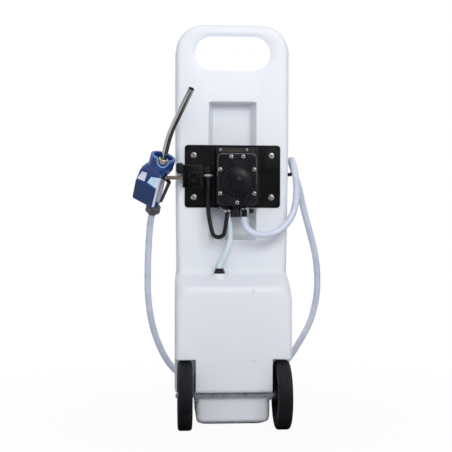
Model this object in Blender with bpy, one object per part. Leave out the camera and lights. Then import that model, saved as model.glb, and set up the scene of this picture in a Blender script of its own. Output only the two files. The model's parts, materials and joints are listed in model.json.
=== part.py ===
"""Wheeled diesel exhaust fluid dispenser: a moulded tank on two wheels, with a pump and a nozzle.

Metres, +Z up. The front, with the pump and the wheels, faces -Y. The origin is on the floor, at the
middle of the tank's flat foot.
"""

import math

import bmesh
import bpy
from mathutils import Euler, Matrix, Vector

# Clearances that every fit shares
GAP = 0.0003            # between two pieces that touch
RUN = 0.0001            # round a shaft that turns, beyond what its facets need
HOLE_PLAY = 0.0006      # round a screw in its hole
OVERRUN = 0.004         # how far a cut runs past the face that it opens
DRAFT_RISE = 0.001      # how much a moulded underside rises over its width

# Wheels and axle
WHEEL_RADIUS = 0.1015
TYRE_WIDTH = 0.0415
WHEEL_SPAN = 0.328      # outer face to outer face
TYRE_BORE_RADIUS = 0.066
TYRE_SHOULDER = 0.009
TREAD_GROOVE = 0.0016
HUB_WEB = 0.006
HUB_RIM_WALL = 0.006
HUB_RIM_WIDTH = 0.030
HUB_BOSS_RADIUS = 0.0145
HUB_BOSS_LENGTH = 0.0455
WHEEL_STEPS = 24
AXLE_RADIUS = 0.0063
AXLE_STANDOFF = 0.006   # from the foot's front face
AXLE_NUT_RADIUS = 0.0115
AXLE_NUT_WIDTH = 0.006
AXLE_END = 0.004        # how far the axle runs past its nut's face
AXLE_BRACKET_WIDTH = 0.016
AXLE_BRACKET_WALL = 0.0075
AXLE_BRACKET_OUTER = 0.115

# Tank
TANK_HEIGHT = 1.200
TANK_WIDTH = 0.340
TANK_WAIST_WIDTH = 0.331
TANK_WALL = 0.005
SLAB_DEPTH = 0.177
BULGE_REACH = 0.095
TOE_SETBACK = 0.042
TOE_WIDTH = 0.220
FOOT_LENGTH = 0.140
FOOT_REAR_ROUND = 0.030
FOOT_LIP_RISE = 0.021
FOOT_CORNER_RISE = 0.046
FOOT_CORNER_SET = 0.018
BULGE_BOTTOM = 0.1115
SKIRT_BOTTOM = 0.080
SKIRT_SLOPE = 0.008
WELL_TOP = 0.211
WELL_HALF = 0.112       # from the middle to the inner wall of a wheel well
WELL_BACK_Y = -0.034
WELL_CORNER = 0.006
SHOULDER_FRONT = 0.420
SHOULDER_REAR = 0.456
SHOULDER_START = 0.380
SHOULDER_CORNER_ACROSS = 0.046
SHOULDER_CORNER_ALONG = 0.060
WAIST_TOP = 0.850
EDGE_RADIUS = 0.018
TOP_CORNER_RADIUS = 0.084
RECESS_WIDTH = 0.143
RECESS_DEPTH = 0.050
RECESS_BOTTOM = 0.555
RECESS_TOP = 0.969
RECESS_DRAFT = 0.014
HAND_HOLE_WIDTH = 0.219
HAND_HOLE_HEIGHT = 0.0948
HAND_HOLE_DROP = 0.0843 # its middle, below the tank's top
HAND_HOLE_RIM = 0.014

TANK_HALF = TANK_WIDTH / 2
WAIST_HALF = TANK_WAIST_WIDTH / 2
TOE_HALF = TOE_WIDTH / 2
REAR_Y = FOOT_LENGTH / 2 + FOOT_REAR_ROUND
FOOT_FRONT_Y = -FOOT_LENGTH / 2
PANEL_Y = REAR_Y - SLAB_DEPTH
BULGE_Y = PANEL_Y - BULGE_REACH
TOE_Y = BULGE_Y + TOE_SETBACK
AXLE_Y = TOE_Y - AXLE_RADIUS - AXLE_STANDOFF
AXLE_Z = WHEEL_RADIUS
HAND_HOLE_MIDDLE = TANK_HEIGHT - HAND_HOLE_DROP

# Filler on the back
FILLER_DROP = 0.200     # its middle, below the tank's top
NECK_RADIUS = 0.030
NECK_WALL = 0.0045
NECK_LENGTH = 0.018
CAP_RADIUS = 0.0385
CAP_WALL = 0.003
CAP_TOP = 0.005
CAP_GRIPS = 16
CAP_GRIP_DEPTH = 0.0018
CAP_SKIRT = 0.014
GASKET_THICKNESS = 0.003
FILLER_Z = TANK_HEIGHT - FILLER_DROP

# Plate and its bolts
PLATE_MARGIN = 0.0265   # from the tank's side to the plate's
PLATE_HEIGHT = 0.187
PLATE_THICKNESS = 0.003
PLATE_CORNER = 0.010
PLATE_Z = 0.7455
BOLT_MARGIN = 0.027     # from the plate's side to a bolt
BOLT_SPACING_Z = 0.1250
BOLT_RADIUS = 0.0035
BOLT_REACH = 0.012
BOLT_HEAD_RADIUS = 0.0066
BOLT_HEAD_HEIGHT = 0.0050
BOLT_FLANGE_RADIUS = 0.0090
BOLT_FLANGE_THICKNESS = 0.0018
INSERT_BOSS_RADIUS = 0.011
INSERT_BOSS_DEPTH = 0.020
PLATE_WIDTH = TANK_WIDTH - 2 * PLATE_MARGIN
BOLT_SPACING_X = PLATE_WIDTH - 2 * BOLT_MARGIN
PLATE_BACK_Y = PANEL_Y - GAP
PLATE_FRONT_Y = PLATE_BACK_Y - PLATE_THICKNESS

# Pump
PUMP_X = 0.007
PUMP_Z = 0.733
HEAD_WIDTH = 0.115
HEAD_HEIGHT = 0.153
HEAD_CORNER = 0.017
HEAD_EDGE = 0.003
BRACKET_STANDOFF = 0.0360
BRACKET_SHEET = 0.0025
BRACKET_FOOT = 0.009
BRACKET_LEFT_X = -0.0505
BRACKET_RIGHT_X = 0.0720
BRACKET_BOTTOM = 0.662
BRACKET_TOP = 0.8300
BRACKET_SCREW_X = 0.0385
BRACKET_SCREW_Z = 0.8218
BODY_DEPTH = 0.0295
DIAPHRAGM_THICKNESS = 0.003
COVER_DEPTH = 0.0155
DOME_RADIUS = 0.0465
DOME_RISE = 0.0125
DOME_RIB_COUNT = 24
DOME_RIB_RISE = 0.0022
DOME_BOSS_RADIUS = 0.0070
DOME_BOSS_RISE = 0.0030
DOME_DROP = 0.0040      # the dome's centre below the head's
CAVITY_RADIUS = 0.0165
CAVITY_DEPTH = 0.0180
MOTOR_RADIUS = 0.0340
MOTOR_STEPS = 20
MOTOR_LENGTH = 0.0760
MOTOR_CAP_LENGTH = 0.0080
MOTOR_CAP_OVERHANG = 0.0012
MOTOR_OPENING_RADIUS = 0.0385
SHAFT_RADIUS = 0.0040
SHAFT_IN_MOTOR = 0.060
ECCENTRIC_RADIUS = 0.0120
ECCENTRIC_THROW = 0.0025
ECCENTRIC_WIDTH = 0.0100
ECCENTRIC_CLEAR = 0.0030

LEAF_BACK_Y = PLATE_FRONT_Y - BRACKET_STANDOFF
LEAF_FRONT_Y = LEAF_BACK_Y - BRACKET_SHEET
BODY_BACK_Y = LEAF_FRONT_Y - GAP
BODY_FRONT_Y = BODY_BACK_Y - BODY_DEPTH
DIAPHRAGM_BACK_Y = BODY_FRONT_Y - GAP
DIAPHRAGM_FRONT_Y = DIAPHRAGM_BACK_Y - DIAPHRAGM_THICKNESS
COVER_BACK_Y = DIAPHRAGM_FRONT_Y - GAP
COVER_FRONT_Y = COVER_BACK_Y - COVER_DEPTH
MOTOR_FRONT_Y = LEAF_BACK_Y + GAP
MOTOR_REAR_Y = MOTOR_FRONT_Y + MOTOR_LENGTH
HEAD_BOTTOM = PUMP_Z - HEAD_HEIGHT / 2

# Cover screws, from the head's centre
SCREW_RADIUS = 0.0024
SCREW_HEAD_RADIUS = 0.0060
SCREW_HEAD_HEIGHT = 0.0036
SCREW_REACH = 0.012
TOP_SCREW_X = 0.0173
TOP_SCREW_Z = 0.0670
SIDE_SCREW_X = 0.0495
UPPER_SCREW_Z = 0.0300
LOWER_SCREW_Z = 0.0397
BOTTOM_SCREW_Z = 0.0660

# Ports under the pump
PORT_TOP = HEAD_BOTTOM - GAP
OUTLET_X = 0.0308
OUTLET_Y = -0.1330
OUTLET_RADIUS = 0.0085
OUTLET_LENGTH = 0.0310
OUTLET_LIP = 0.0008
OUTLET_CLAMP_DROP = 0.0030
CLAMP_WIDTH = 0.0080
CLAMP_BAND = 0.0010
CLAMP_LUG = 0.0070
CLAMP_TURN = 55.0       # how far the lug turns from the front to the right
BYPASS_X = -0.0205
BYPASS_Y = -0.1400
BYPASS_BLOCK_LENGTH = 0.0350
BYPASS_BLOCK_DEPTH = 0.0130
BYPASS_BLOCK_HEIGHT = 0.0090
BYPASS_SPIGOT = 0.0020
SUCTION_X = -0.0165
SUCTION_Y = -0.1245
SUCTION_COLLAR = 0.0100
CAP_X = 0.0050
CAP_Y = -0.1335
CAP_CYLINDER_RADIUS = 0.0150
CAP_CYLINDER_LENGTH = 0.0320
CAP_CYLINDER_EDGE = 0.0015

# Elbow that takes the black hose
ELBOW_X = -0.0740
ELBOW_Z = 0.7620
ELBOW_RADIUS = 0.0085
ELBOW_REACH = 0.0285
ELBOW_FLANGE_RADIUS = 0.0120
ELBOW_FLANGE_WIDTH = 0.0040
ELBOW_NUT_RADIUS = 0.0130
ELBOW_NUT_HEIGHT = 0.0085
ELBOW_NUT_DROP = 0.0115
ELBOW_BARB_RADIUS = 0.0050
ELBOW_BARB_BOTTOM = 0.7160

# Switch
SWITCH_INSET = 0.0522   # from the tank's side to the switch's middle
SWITCH_WIDTH = 0.0390
SWITCH_BOTTOM = 0.7190
SWITCH_HEIGHT = 0.0440
SWITCH_DEPTH = 0.0100
SWITCH_WINDOW_WIDTH = 0.0190
SWITCH_WINDOW_HEIGHT = 0.0260
SWITCH_WINDOW_DEPTH = 0.0075
ROCKER_PLAY = 0.0006
ROCKER_PROUD = 0.0024
ROCKER_BACK_CLEAR = 0.0020
SWITCH_X = SWITCH_INSET - TANK_HALF

# Nozzle holder
LEAF_INSET = 0.0200     # from the tank's side to the bent edge
LEAF_WIDTH = 0.0610
LEAF_BOTTOM_Z = 0.7120
LEAF_TOP_Z = 0.7790
LEAF_SHEET = 0.0022
FLANGE_REACH = 0.0400
ROD_Z = 0.7400
ROD_Y = -0.1050
ROD_RADIUS = 0.0055
ROD_OUT = 0.0320        # from the tank's side to the rod's tip
CRADLE_WIDTH = 0.0190
CRADLE_HEIGHT = 0.0310
CRADLE_MIDDLE_Z = 0.7680
CRADLE_FRONT_Y = -0.1230
CRADLE_BACK_Y = -0.0930
CRADLE_EDGE = 0.0060
LEAF_LEFT_X = LEAF_INSET - TANK_HALF
LEAF_RIGHT_X = LEAF_LEFT_X + LEAF_WIDTH
ROD_TIP_X = -TANK_HALF - ROD_OUT

# Suction fitting on the shoulder
FITTING_X = -0.0400
FITTING_Y = -0.1010
FITTING_FLANGE_RADIUS = 0.0165
FITTING_SHANK_RADIUS = 0.0110
FITTING_FLANGE_HEIGHT = 0.0065
FITTING_BOSS_RADIUS = 0.0190
FITTING_TOP_Z = 0.4630
FITTING_NUT_RADIUS = 0.0135
FITTING_NUT_HEIGHT = 0.0080
DIP_TUBE_RADIUS = 0.0080
DIP_TUBE_WALL = 0.0016
DIP_TUBE_BOTTOM = 0.0560
STRAINER_RADIUS = 0.0160
STRAINER_HEIGHT = 0.0280
STRAINER_BOTTOM = 0.0300
FITTING_SEAT_Z = FITTING_TOP_Z - FITTING_FLANGE_HEIGHT - GAP

# Hoses
DELIVERY_RADIUS = 0.0100
BYPASS_HOSE_RADIUS = 0.0061
SUCTION_HOSE_RADIUS = 0.0080
HOSE_LEAD = 0.0160      # how far a hose runs straight out of its port

# Hose hook on the tank's right side
HOOK_Y = -0.0060
HOOK_Z = 0.7550
HOOK_BASE_RADIUS = 0.0150
HOOK_BASE_THICKNESS = 0.0040
HOOK_ROD_RADIUS = 0.0055
HOOK_OUT = 0.0170
HOOK_TIP_OUT = 0.0330

# Nozzle, in its own frame: +Z along the body to the spout, +X to the trigger
NOZZLE_OUT = 0.0745     # from the tank's side to the nozzle's frame
NOZZLE_PLACE = (-TANK_HALF - NOZZLE_OUT, -0.0175, 0.6345)
NOZZLE_TILT = 26.0
NOZZLE_LEAN = 12.0
NOZZLE_TURN = -33.0
NOZZLE_AXIS_X = 0.0040
NOZZLE_CORNER_STEPS = 4
NOZZLE_LEFT = -0.0660
NOZZLE_RIGHT = 0.0130
NOZZLE_HALF = 0.0200
NOZZLE_CORNER = 0.0060
HEAD_LEFT = -0.0385
HEAD_RIGHT = 0.0415
HEAD_HALF = 0.0310
NECK_RIGHT = 0.0225
NECK_HALF = 0.0170
BLOCK_TOP = 0.0920
SLOPE_TOP = 0.1210
NECK_HEIGHT = 0.1340
HEAD_LOW = 0.1600
SWIVEL_RADIUS = 0.0225
SWIVEL_LENGTH = 0.0275
SWIVEL_NECK_RADIUS = 0.0140
SWIVEL_NECK_LENGTH = 0.0070
BODY_BOTTOM = 0.0285
BODY_TOP = 0.1930
CUP_FLOOR = 0.1710
CUP_WALL = 0.0095
NOTCH_BOTTOM = 0.1790
NOTCH_HALF = 0.0170
COLLAR_RADIUS = 0.0150
COLLAR_HEIGHT = 0.0140
SPOUT_RADIUS = 0.0095
SPOUT_WALL = 0.0013
SPOUT_BORE_LENGTH = 0.045
SPOUT_START = 0.1718
SPOUT_BEND_HEIGHT = 0.2680
SPOUT_BEND_X = 0.0070
SPOUT_TIP_X = 0.0480
SPOUT_TIP_HEIGHT = 0.4230
SPOUT_BEND_REACH = 0.034
TRIGGER_PIN_X = 0.0170
TRIGGER_PIN_HEIGHT = 0.1370
TRIGGER_PIN_RADIUS = 0.0025
TRIGGER_EYE_RADIUS = 0.0062
TRIGGER_WIDTH = 0.0160
TRIGGER_THICKNESS = 0.0030
TRIGGER_KNEE_X = 0.0420
TRIGGER_KNEE_HEIGHT = 0.1230
TRIGGER_END_X = 0.0260
TRIGGER_END_HEIGHT = 0.0500
CHANNEL_PLAY = 0.0015
CHANNEL_FLOOR_X = -0.0030
CHANNEL_BOTTOM = 0.0400
CHANNEL_TOP = 0.1470
CHANNEL_SLOT_DEPTH = 0.0180

for existing in list(bpy.data.objects):
    bpy.data.objects.remove(existing)


def material(name, color, roughness, metallic=0.0):
    """A plain Principled material."""
    made = bpy.data.materials.new(name)
    made.use_nodes = True
    shader = made.node_tree.nodes["Principled BSDF"]
    shader.inputs["Base Color"].default_value = (*color, 1.0)
    shader.inputs["Roughness"].default_value = roughness
    shader.inputs["Metallic"].default_value = metallic
    return made


TANK_WHITE = material("tank_white", (0.80, 0.83, 0.86), 0.45)
CAP_BLUE = material("cap_blue", (0.03, 0.12, 0.42), 0.45)
RUBBER_BLACK = material("rubber_black", (0.02, 0.02, 0.02), 0.8)
PLATE_BLACK = material("plate_black", (0.01, 0.01, 0.012), 0.3)
PLASTIC_BLACK = material("plastic_black", (0.02, 0.02, 0.025), 0.5)
STAINLESS = material("stainless", (0.62, 0.60, 0.58), 0.22, 1.0)
ZINC = material("zinc", (0.45, 0.50, 0.55), 0.35, 1.0)
NOZZLE_BLUE = material("nozzle_blue", (0.03, 0.10, 0.38), 0.4)
HOSE_CLEAR = material("hose_clear", (0.70, 0.74, 0.82), 0.3)
TYRE_BLACK = material("tyre_black", (0.02, 0.02, 0.022), 0.75)
HUB_GREY = material("hub_grey", (0.05, 0.05, 0.055), 0.6)
MOTOR_STEEL = material("motor_steel", (0.03, 0.03, 0.035), 0.35, 0.6)


def add_object(name, bm, finish, place=(0, 0, 0), turn=(0, 0, 0), parent=None, smooth=True):
    """Makes a named object from a bmesh, with its faces pointing out."""
    bmesh.ops.recalc_face_normals(bm, faces=bm.faces)
    mesh = bpy.data.meshes.new(name)
    bm.to_mesh(mesh)
    bm.free()
    made = bpy.data.objects.new(name, mesh)
    bpy.context.scene.collection.objects.link(made)
    made.location = place
    made.rotation_euler = turn
    made.parent = parent
    if finish:
        mesh.materials.append(finish)
    if smooth:
        mesh.shade_smooth()
        mesh.set_sharp_from_angle(angle=math.radians(35))
    return made


def cutter(made):
    """Marks an object as a tool that only cuts or joins."""
    made.hide_render = True
    made.display_type = "WIRE"
    return made


def combine(target, tool, operation="DIFFERENCE"):
    """Cuts the target with the tool, or joins the tool to it."""
    step = target.modifiers.new(f"{operation.lower()}_{tool.name}", "BOOLEAN")
    step.operation = operation
    step.solver = "EXACT"
    step.object = cutter(tool)
    return target


def loft(loops):
    """A closed body through loops of as many points each."""
    bm = bmesh.new()
    rings = [[bm.verts.new(point) for point in loop] for loop in loops]
    for low, high in zip(rings, rings[1:]):
        for index, start in enumerate(low):
            after = (index + 1) % len(low)
            bm.faces.new((start, low[after], high[after], high[index]))
    bm.faces.new(list(reversed(rings[0])))
    bm.faces.new(rings[-1])
    return bm


def add_to(bm, part):
    """Moves one bmesh's body into another, facing out."""
    bmesh.ops.recalc_face_normals(part, faces=part.faces)
    moved = bpy.data.meshes.new("part")
    part.to_mesh(moved)
    part.free()
    bm.from_mesh(moved)
    bpy.data.meshes.remove(moved)


def prism(outline, low, high, axis="Y"):
    """An outline swept straight from low to high along an axis."""
    places = {
        "X": lambda u, v, w: (w, u, v),
        "Y": lambda u, v, w: (u, w, v),
        "Z": lambda u, v, w: (u, v, w),
    }
    place = places[axis]
    return loft([[place(u, v, level) for u, v in outline] for level in (low, high)])


def turned(profile, steps, closed=False):
    """A profile of (radius, height) points spun round Z."""
    bm = bmesh.new()
    points = [bm.verts.new((radius, 0, height)) for radius, height in profile]
    pairs = list(zip(points, points[1:]))
    if closed:
        pairs.append((points[-1], points[0]))
    edges = [bm.edges.new(pair) for pair in pairs if pair[0].co.x or pair[1].co.x]
    bmesh.ops.spin(
        bm, geom=points + edges, cent=(0, 0, 0), axis=(0, 0, 1),
        angle=2 * math.pi, steps=steps, use_merge=True,
    )
    bmesh.ops.remove_doubles(bm, verts=bm.verts, dist=GAP / 100)
    return bm


def circle(radius, count, middle=(0, 0), phase=0.0):
    """Points round a circle, anticlockwise."""
    angles = [2 * math.pi * index / count + phase for index in range(count)]
    return [(middle[0] + radius * math.cos(a), middle[1] + radius * math.sin(a)) for a in angles]


def arc(middle, radii, first, last, steps):
    """Points along an arc, from the first angle to the last in degrees."""
    points = []
    for step in range(steps + 1):
        angle = math.radians(first + (last - first) * step / steps)
        points.append((middle[0] + radii[0] * math.cos(angle), middle[1] + radii[1] * math.sin(angle)))
    return points


def rounded_rectangle(middle, width, height, radius, steps=4):
    """A rectangle's outline with round corners, anticlockwise."""
    across = width / 2 - radius
    up = height / 2 - radius
    corners = ((across, -up, -90), (across, up, 0), (-across, up, 90), (-across, -up, 180))
    outline = []
    for x, z, start in corners:
        outline += arc((middle[0] + x, middle[1] + z), (radius, radius), start, start + 90, steps)
    return outline


def sweep(path, radius, sides):
    """A round bar along a path of points."""
    points = [Vector(point) for point in path]
    across = None
    loops = []
    for index, point in enumerate(points):
        before = points[max(index - 1, 0)]
        after = points[min(index + 1, len(points) - 1)]
        forward = (after - before).normalized()
        if across is None:
            across = forward.orthogonal().normalized()
        across = (across - forward * across.dot(forward)).normalized()
        side = forward.cross(across)
        ring = circle(radius, sides)
        loops.append([point + across * u + side * v for u, v in ring])
    return loft(loops)


def bend(start, corner, end, reach, steps):
    """A path from start to end by way of a rounded corner."""
    start, corner, end = Vector(start), Vector(corner), Vector(end)
    enter = corner + (start - corner).normalized() * reach
    leave = corner + (end - corner).normalized() * reach
    path = [start]
    for step in range(steps + 1):
        share = step / steps
        path.append(enter.lerp(corner, share).lerp(corner.lerp(leave, share), share))
    return path + [end]


def smooth_route(route, spacing):
    """Points a set distance apart on a smooth curve through a route, with its two ends straight."""
    points = [Vector(point) for point in route]
    ends = [points[0]] + points + [points[-1]]
    fine = []
    per_span = 16
    for a, b, c, d in zip(ends[1:], ends[2:], ends[3:], ends[4:-1]):
        for step in range(per_span):
            t = step / per_span
            fine.append(0.5 * (2 * b + (c - a) * t + (2 * a - 5 * b + 4 * c - d) * t * t
                               + (3 * b - a - 3 * c + d) * t * t * t))
    fine.append(points[-2])
    lengths = [0.0]
    for before, after in zip(fine, fine[1:]):
        lengths.append(lengths[-1] + (after - before).length)
    count = max(4, round(lengths[-1] / spacing))
    spaced = []
    place = 0
    for index in range(count + 1):
        target = lengths[-1] * index / count
        while place < len(fine) - 2 and lengths[place + 1] < target:
            place += 1
        share = (target - lengths[place]) / (lengths[place + 1] - lengths[place])
        spaced.append(fine[place].lerp(fine[place + 1], min(1.0, share)))
    return [points[0]] + spaced + [points[-1]]


def hose(name, route, radius, finish):
    """A flexible tube along a route, as a curve with filled ends."""
    data = bpy.data.curves.new(name, "CURVE")
    data.dimensions = "3D"
    data.bevel_depth = radius
    data.bevel_resolution = 2
    data.use_fill_caps = True
    points = smooth_route(route, radius * 6)
    spline = data.splines.new("POLY")
    spline.points.add(len(points) - 1)
    for place, point in zip(spline.points, points):
        place.co = (*point, 1.0)
    data.materials.append(finish)
    made = bpy.data.objects.new(name, data)
    bpy.context.scene.collection.objects.link(made)
    return made


def fastener(name, head, shank_radius, reach, place, turn, finish):
    """A screw or bolt: head is a list of (radius, height) above the seat, hexagonal where marked."""
    sides = 12 if any(hexagonal for _, _, hexagonal in head) else 10
    flat_share = math.cos(math.radians(30))
    loops = [[(*point, -reach) for point in circle(shank_radius, sides)]]
    loops.append([(*point, 0.0) for point in circle(shank_radius, sides)])
    for radius, height, hexagonal in head:
        ring = []
        for index, (x, y) in enumerate(circle(radius, sides)):
            share = flat_share if hexagonal and index % 2 else 1.0
            ring.append((x * share, y * share, height))
        loops.append(ring)
    return add_object(name, loft(loops), finish, place, turn)


def running_bore(radius, steps):
    """The corner radius of a faceted bore that clears a shaft all round."""
    return (radius + RUN) / math.cos(math.pi / steps)


FACING_FRONT = (math.radians(90), 0, 0)
FACING_RIGHT = (0, math.radians(90), 0)
FACING_BACK = (math.radians(-90), 0, 0)
FACING_DOWN = (math.radians(180), 0, 0)


# Tank: three profiles over the height give the outline of every level

def rounded(points, sizes, steps=2):
    """A polyline with its inner corners rounded by the sizes given."""
    result = [points[0]]
    for index in range(1, len(points) - 1):
        size = sizes[index - 1]
        corner = Vector(points[index])
        if not size:
            result.append(tuple(corner))
            continue
        enter = corner + (Vector(points[index - 1]) - corner).normalized() * size
        leave = corner + (Vector(points[index + 1]) - corner).normalized() * size
        for step in range(steps + 1):
            share = step / steps
            result.append(tuple(enter.lerp(corner, share).lerp(corner.lerp(leave, share), share)))
    result.append(points[-1])
    return result


def offset(points, distance):
    """A profile of (value, height) points moved sideways by a distance, to its left going up."""
    moved = []
    for index in range(len(points)):
        lines = []
        for first, second in ((index - 1, index), (index, index + 1)):
            if first < 0 or second >= len(points):
                continue
            along = (Vector(points[second]) - Vector(points[first])).normalized()
            lines.append(Vector((-along.y, along.x)))
        normal = sum(lines, Vector((0, 0)))
        normal = normal.normalized()
        miter = distance / max(normal.dot(lines[0]), 0.5)
        moved.append(tuple(Vector(points[index]) + normal * miter))
    return moved


def value_at(profile, height):
    """The value of a profile at a height."""
    for (low_value, low), (high_value, high) in zip(profile, profile[1:]):
        if low <= height <= high and high > low:
            return low_value + (high_value - low_value) * (height - low) / (high - low)
    return profile[0][0] if height < profile[0][1] else profile[-1][0]


def tank_profiles():
    """Half width, front, back, recess and corner sizes over the height."""
    fillet = EDGE_RADIUS / 2
    half = arc((TOE_HALF - FOOT_CORNER_SET, FOOT_CORNER_RISE), (FOOT_CORNER_SET, FOOT_CORNER_RISE), -90, 0, 3)
    half += rounded(
        [
            (TOE_HALF, FOOT_CORNER_RISE),
            (TOE_HALF, SKIRT_BOTTOM),
            (TANK_HALF, SKIRT_BOTTOM + SKIRT_SLOPE),
            (TANK_HALF, SHOULDER_FRONT),
            (WAIST_HALF, SHOULDER_REAR),
            (TANK_HALF, WAIST_TOP),
            (TANK_HALF, TANK_HEIGHT - TOP_CORNER_RADIUS),
        ],
        [fillet / 2, fillet, EDGE_RADIUS, EDGE_RADIUS, 0],
    )[1:-1]
    corner = (TANK_HALF - TOP_CORNER_RADIUS, TANK_HEIGHT - TOP_CORNER_RADIUS)
    half += arc(corner, (TOP_CORNER_RADIUS, TOP_CORNER_RADIUS), 0, 90, 7)
    front = rounded(
        [
            (FOOT_FRONT_Y, 0.0),
            (TOE_Y, FOOT_LIP_RISE),
            (TOE_Y, BULGE_BOTTOM - DRAFT_RISE),
            (BULGE_Y, BULGE_BOTTOM),
            (BULGE_Y, SHOULDER_FRONT),
            (PANEL_Y, SHOULDER_REAR),
            (PANEL_Y, TANK_HEIGHT - EDGE_RADIUS),
        ],
        [fillet, fillet, EDGE_RADIUS, EDGE_RADIUS, EDGE_RADIUS],
    )[:-1]
    front += arc((PANEL_Y + EDGE_RADIUS, TANK_HEIGHT - EDGE_RADIUS), (-EDGE_RADIUS, EDGE_RADIUS), 0, 90, 3)
    back = arc((REAR_Y - FOOT_REAR_ROUND, FOOT_REAR_ROUND), (FOOT_REAR_ROUND, FOOT_REAR_ROUND), -90, 0, 3)
    back += arc((REAR_Y - EDGE_RADIUS, TANK_HEIGHT - EDGE_RADIUS), (EDGE_RADIUS, EDGE_RADIUS), 0, 90, 3)
    return half, front, back


def tank_body(name, wall, finish):
    """The tank's outer form, or with a wall the plainer hollow inside it."""
    steps = 2 if wall else 3
    least_rise = DRAFT_RISE * (6 if wall else 0.9)
    half, front, back = tank_profiles()
    recess = [
        (0.0, RECESS_BOTTOM - wall),
        (RECESS_DEPTH, RECESS_BOTTOM + RECESS_DRAFT - wall),
        (RECESS_DEPTH, RECESS_TOP - RECESS_DRAFT + wall),
        (0.0, RECESS_TOP + wall),
    ]
    across = [
        (EDGE_RADIUS, SHOULDER_START),
        (SHOULDER_CORNER_ACROSS, SHOULDER_FRONT),
        (EDGE_RADIUS, SHOULDER_REAR + EDGE_RADIUS),
    ]
    along = [
        (EDGE_RADIUS, SHOULDER_START),
        (SHOULDER_CORNER_ALONG, SHOULDER_FRONT),
        (EDGE_RADIUS, SHOULDER_REAR + EDGE_RADIUS),
    ]
    if wall:
        half = offset(half, wall)
        back = offset(back, wall)
        front = offset(front, -wall)
    heights = [height for profile in (half, front, back, recess, across) for _, height in profile]
    levels = [wall]
    for height in sorted(heights):
        if levels[-1] + least_rise < height < TANK_HEIGHT - wall - least_rise:
            levels.append(height)
    levels.append(TANK_HEIGHT - wall)
    loops = []
    for height in levels:
        width = value_at(half, height)
        near = value_at(front, height)
        far = value_at(back, height)
        corner_x = value_at(across, height) - wall
        corner_y = value_at(along, height) - wall
        rear_corner = EDGE_RADIUS - wall
        depth = value_at(recess, height)
        rim = min(RECESS_WIDTH / 2 + wall, width - corner_x - DRAFT_RISE)
        floor_edge = rim - RECESS_DRAFT
        side = [(floor_edge, near + depth), (rim, near)]
        side += arc((width - corner_x, near + corner_y), (corner_x, corner_y), -90, 0, steps)
        side += arc((width - rear_corner, far - rear_corner), (rear_corner, rear_corner), 0, 90, steps)
        other = [(-x, y) for x, y in reversed(side)]
        loops.append([(x, y, height) for x, y in side + other])
    return add_object(name, loft(loops), finish)


def stadium(width, height, middle_z, grow):
    """The hand hole's outline, with round ends."""
    radius = height / 2 + grow
    reach = width / 2 - height / 2
    outline = arc((reach, middle_z), (radius, radius), -90, 90, 7)
    return outline + arc((-reach, middle_z), (radius, radius), 90, 270, 7)


def hand_hole(name, grow, rim):
    """A tool for the hand hole, flared at both faces by the rim."""
    flare = [(PANEL_Y - OVERRUN, rim + OVERRUN)]
    steps = 3
    for step in range(1, steps + 1):
        angle = math.radians(90 * step / steps)
        flare.append((PANEL_Y + rim * (1 - math.cos(angle)), rim * (1 - math.sin(angle))))
    mirrored = [(PANEL_Y + REAR_Y - y, size) for y, size in reversed(flare)]
    loops = []
    for y, size in flare + mirrored:
        outline = stadium(HAND_HOLE_WIDTH, HAND_HOLE_HEIGHT, HAND_HOLE_MIDDLE, grow + size)
        loops.append([(x, y, z) for x, z in outline])
    return add_object(name, loft(loops), None)


def wheel_wells(name, grow):
    """Tools for the two wheel wells in the tank's front corners."""
    front = BULGE_Y - OVERRUN
    side = TANK_HALF + OVERRUN
    corner = WELL_CORNER + grow
    bm = bmesh.new()
    for sign in (-1, 1):
        outline = [(sign * side, WELL_BACK_Y + grow), (sign * side, front), (sign * (WELL_HALF - grow), front)]
        inner = (WELL_HALF - grow + corner, WELL_BACK_Y + grow - corner)
        outline += [(sign * x, y) for x, y in arc(inner, (corner, corner), 180, 90, 3)]
        add_to(bm, prism(outline, -OVERRUN, WELL_TOP + grow, "Z"))
    return add_object(name, bm, None)


def bolt_places():
    """The plate's four bolts, in X and Z."""
    signs = ((-1, 1), (1, 1), (-1, -1), (1, -1))
    return [(sx * BOLT_SPACING_X / 2, PLATE_Z + sz * BOLT_SPACING_Z / 2) for sx, sz in signs]


def cylinders(name, places, radius, low, high, axis, sides=16):
    """Round bars side by side, as one tool."""
    bm = bmesh.new()
    for place in places:
        add_to(bm, prism(circle(radius, sides, place), low, high, axis))
    return add_object(name, bm, None)


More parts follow.
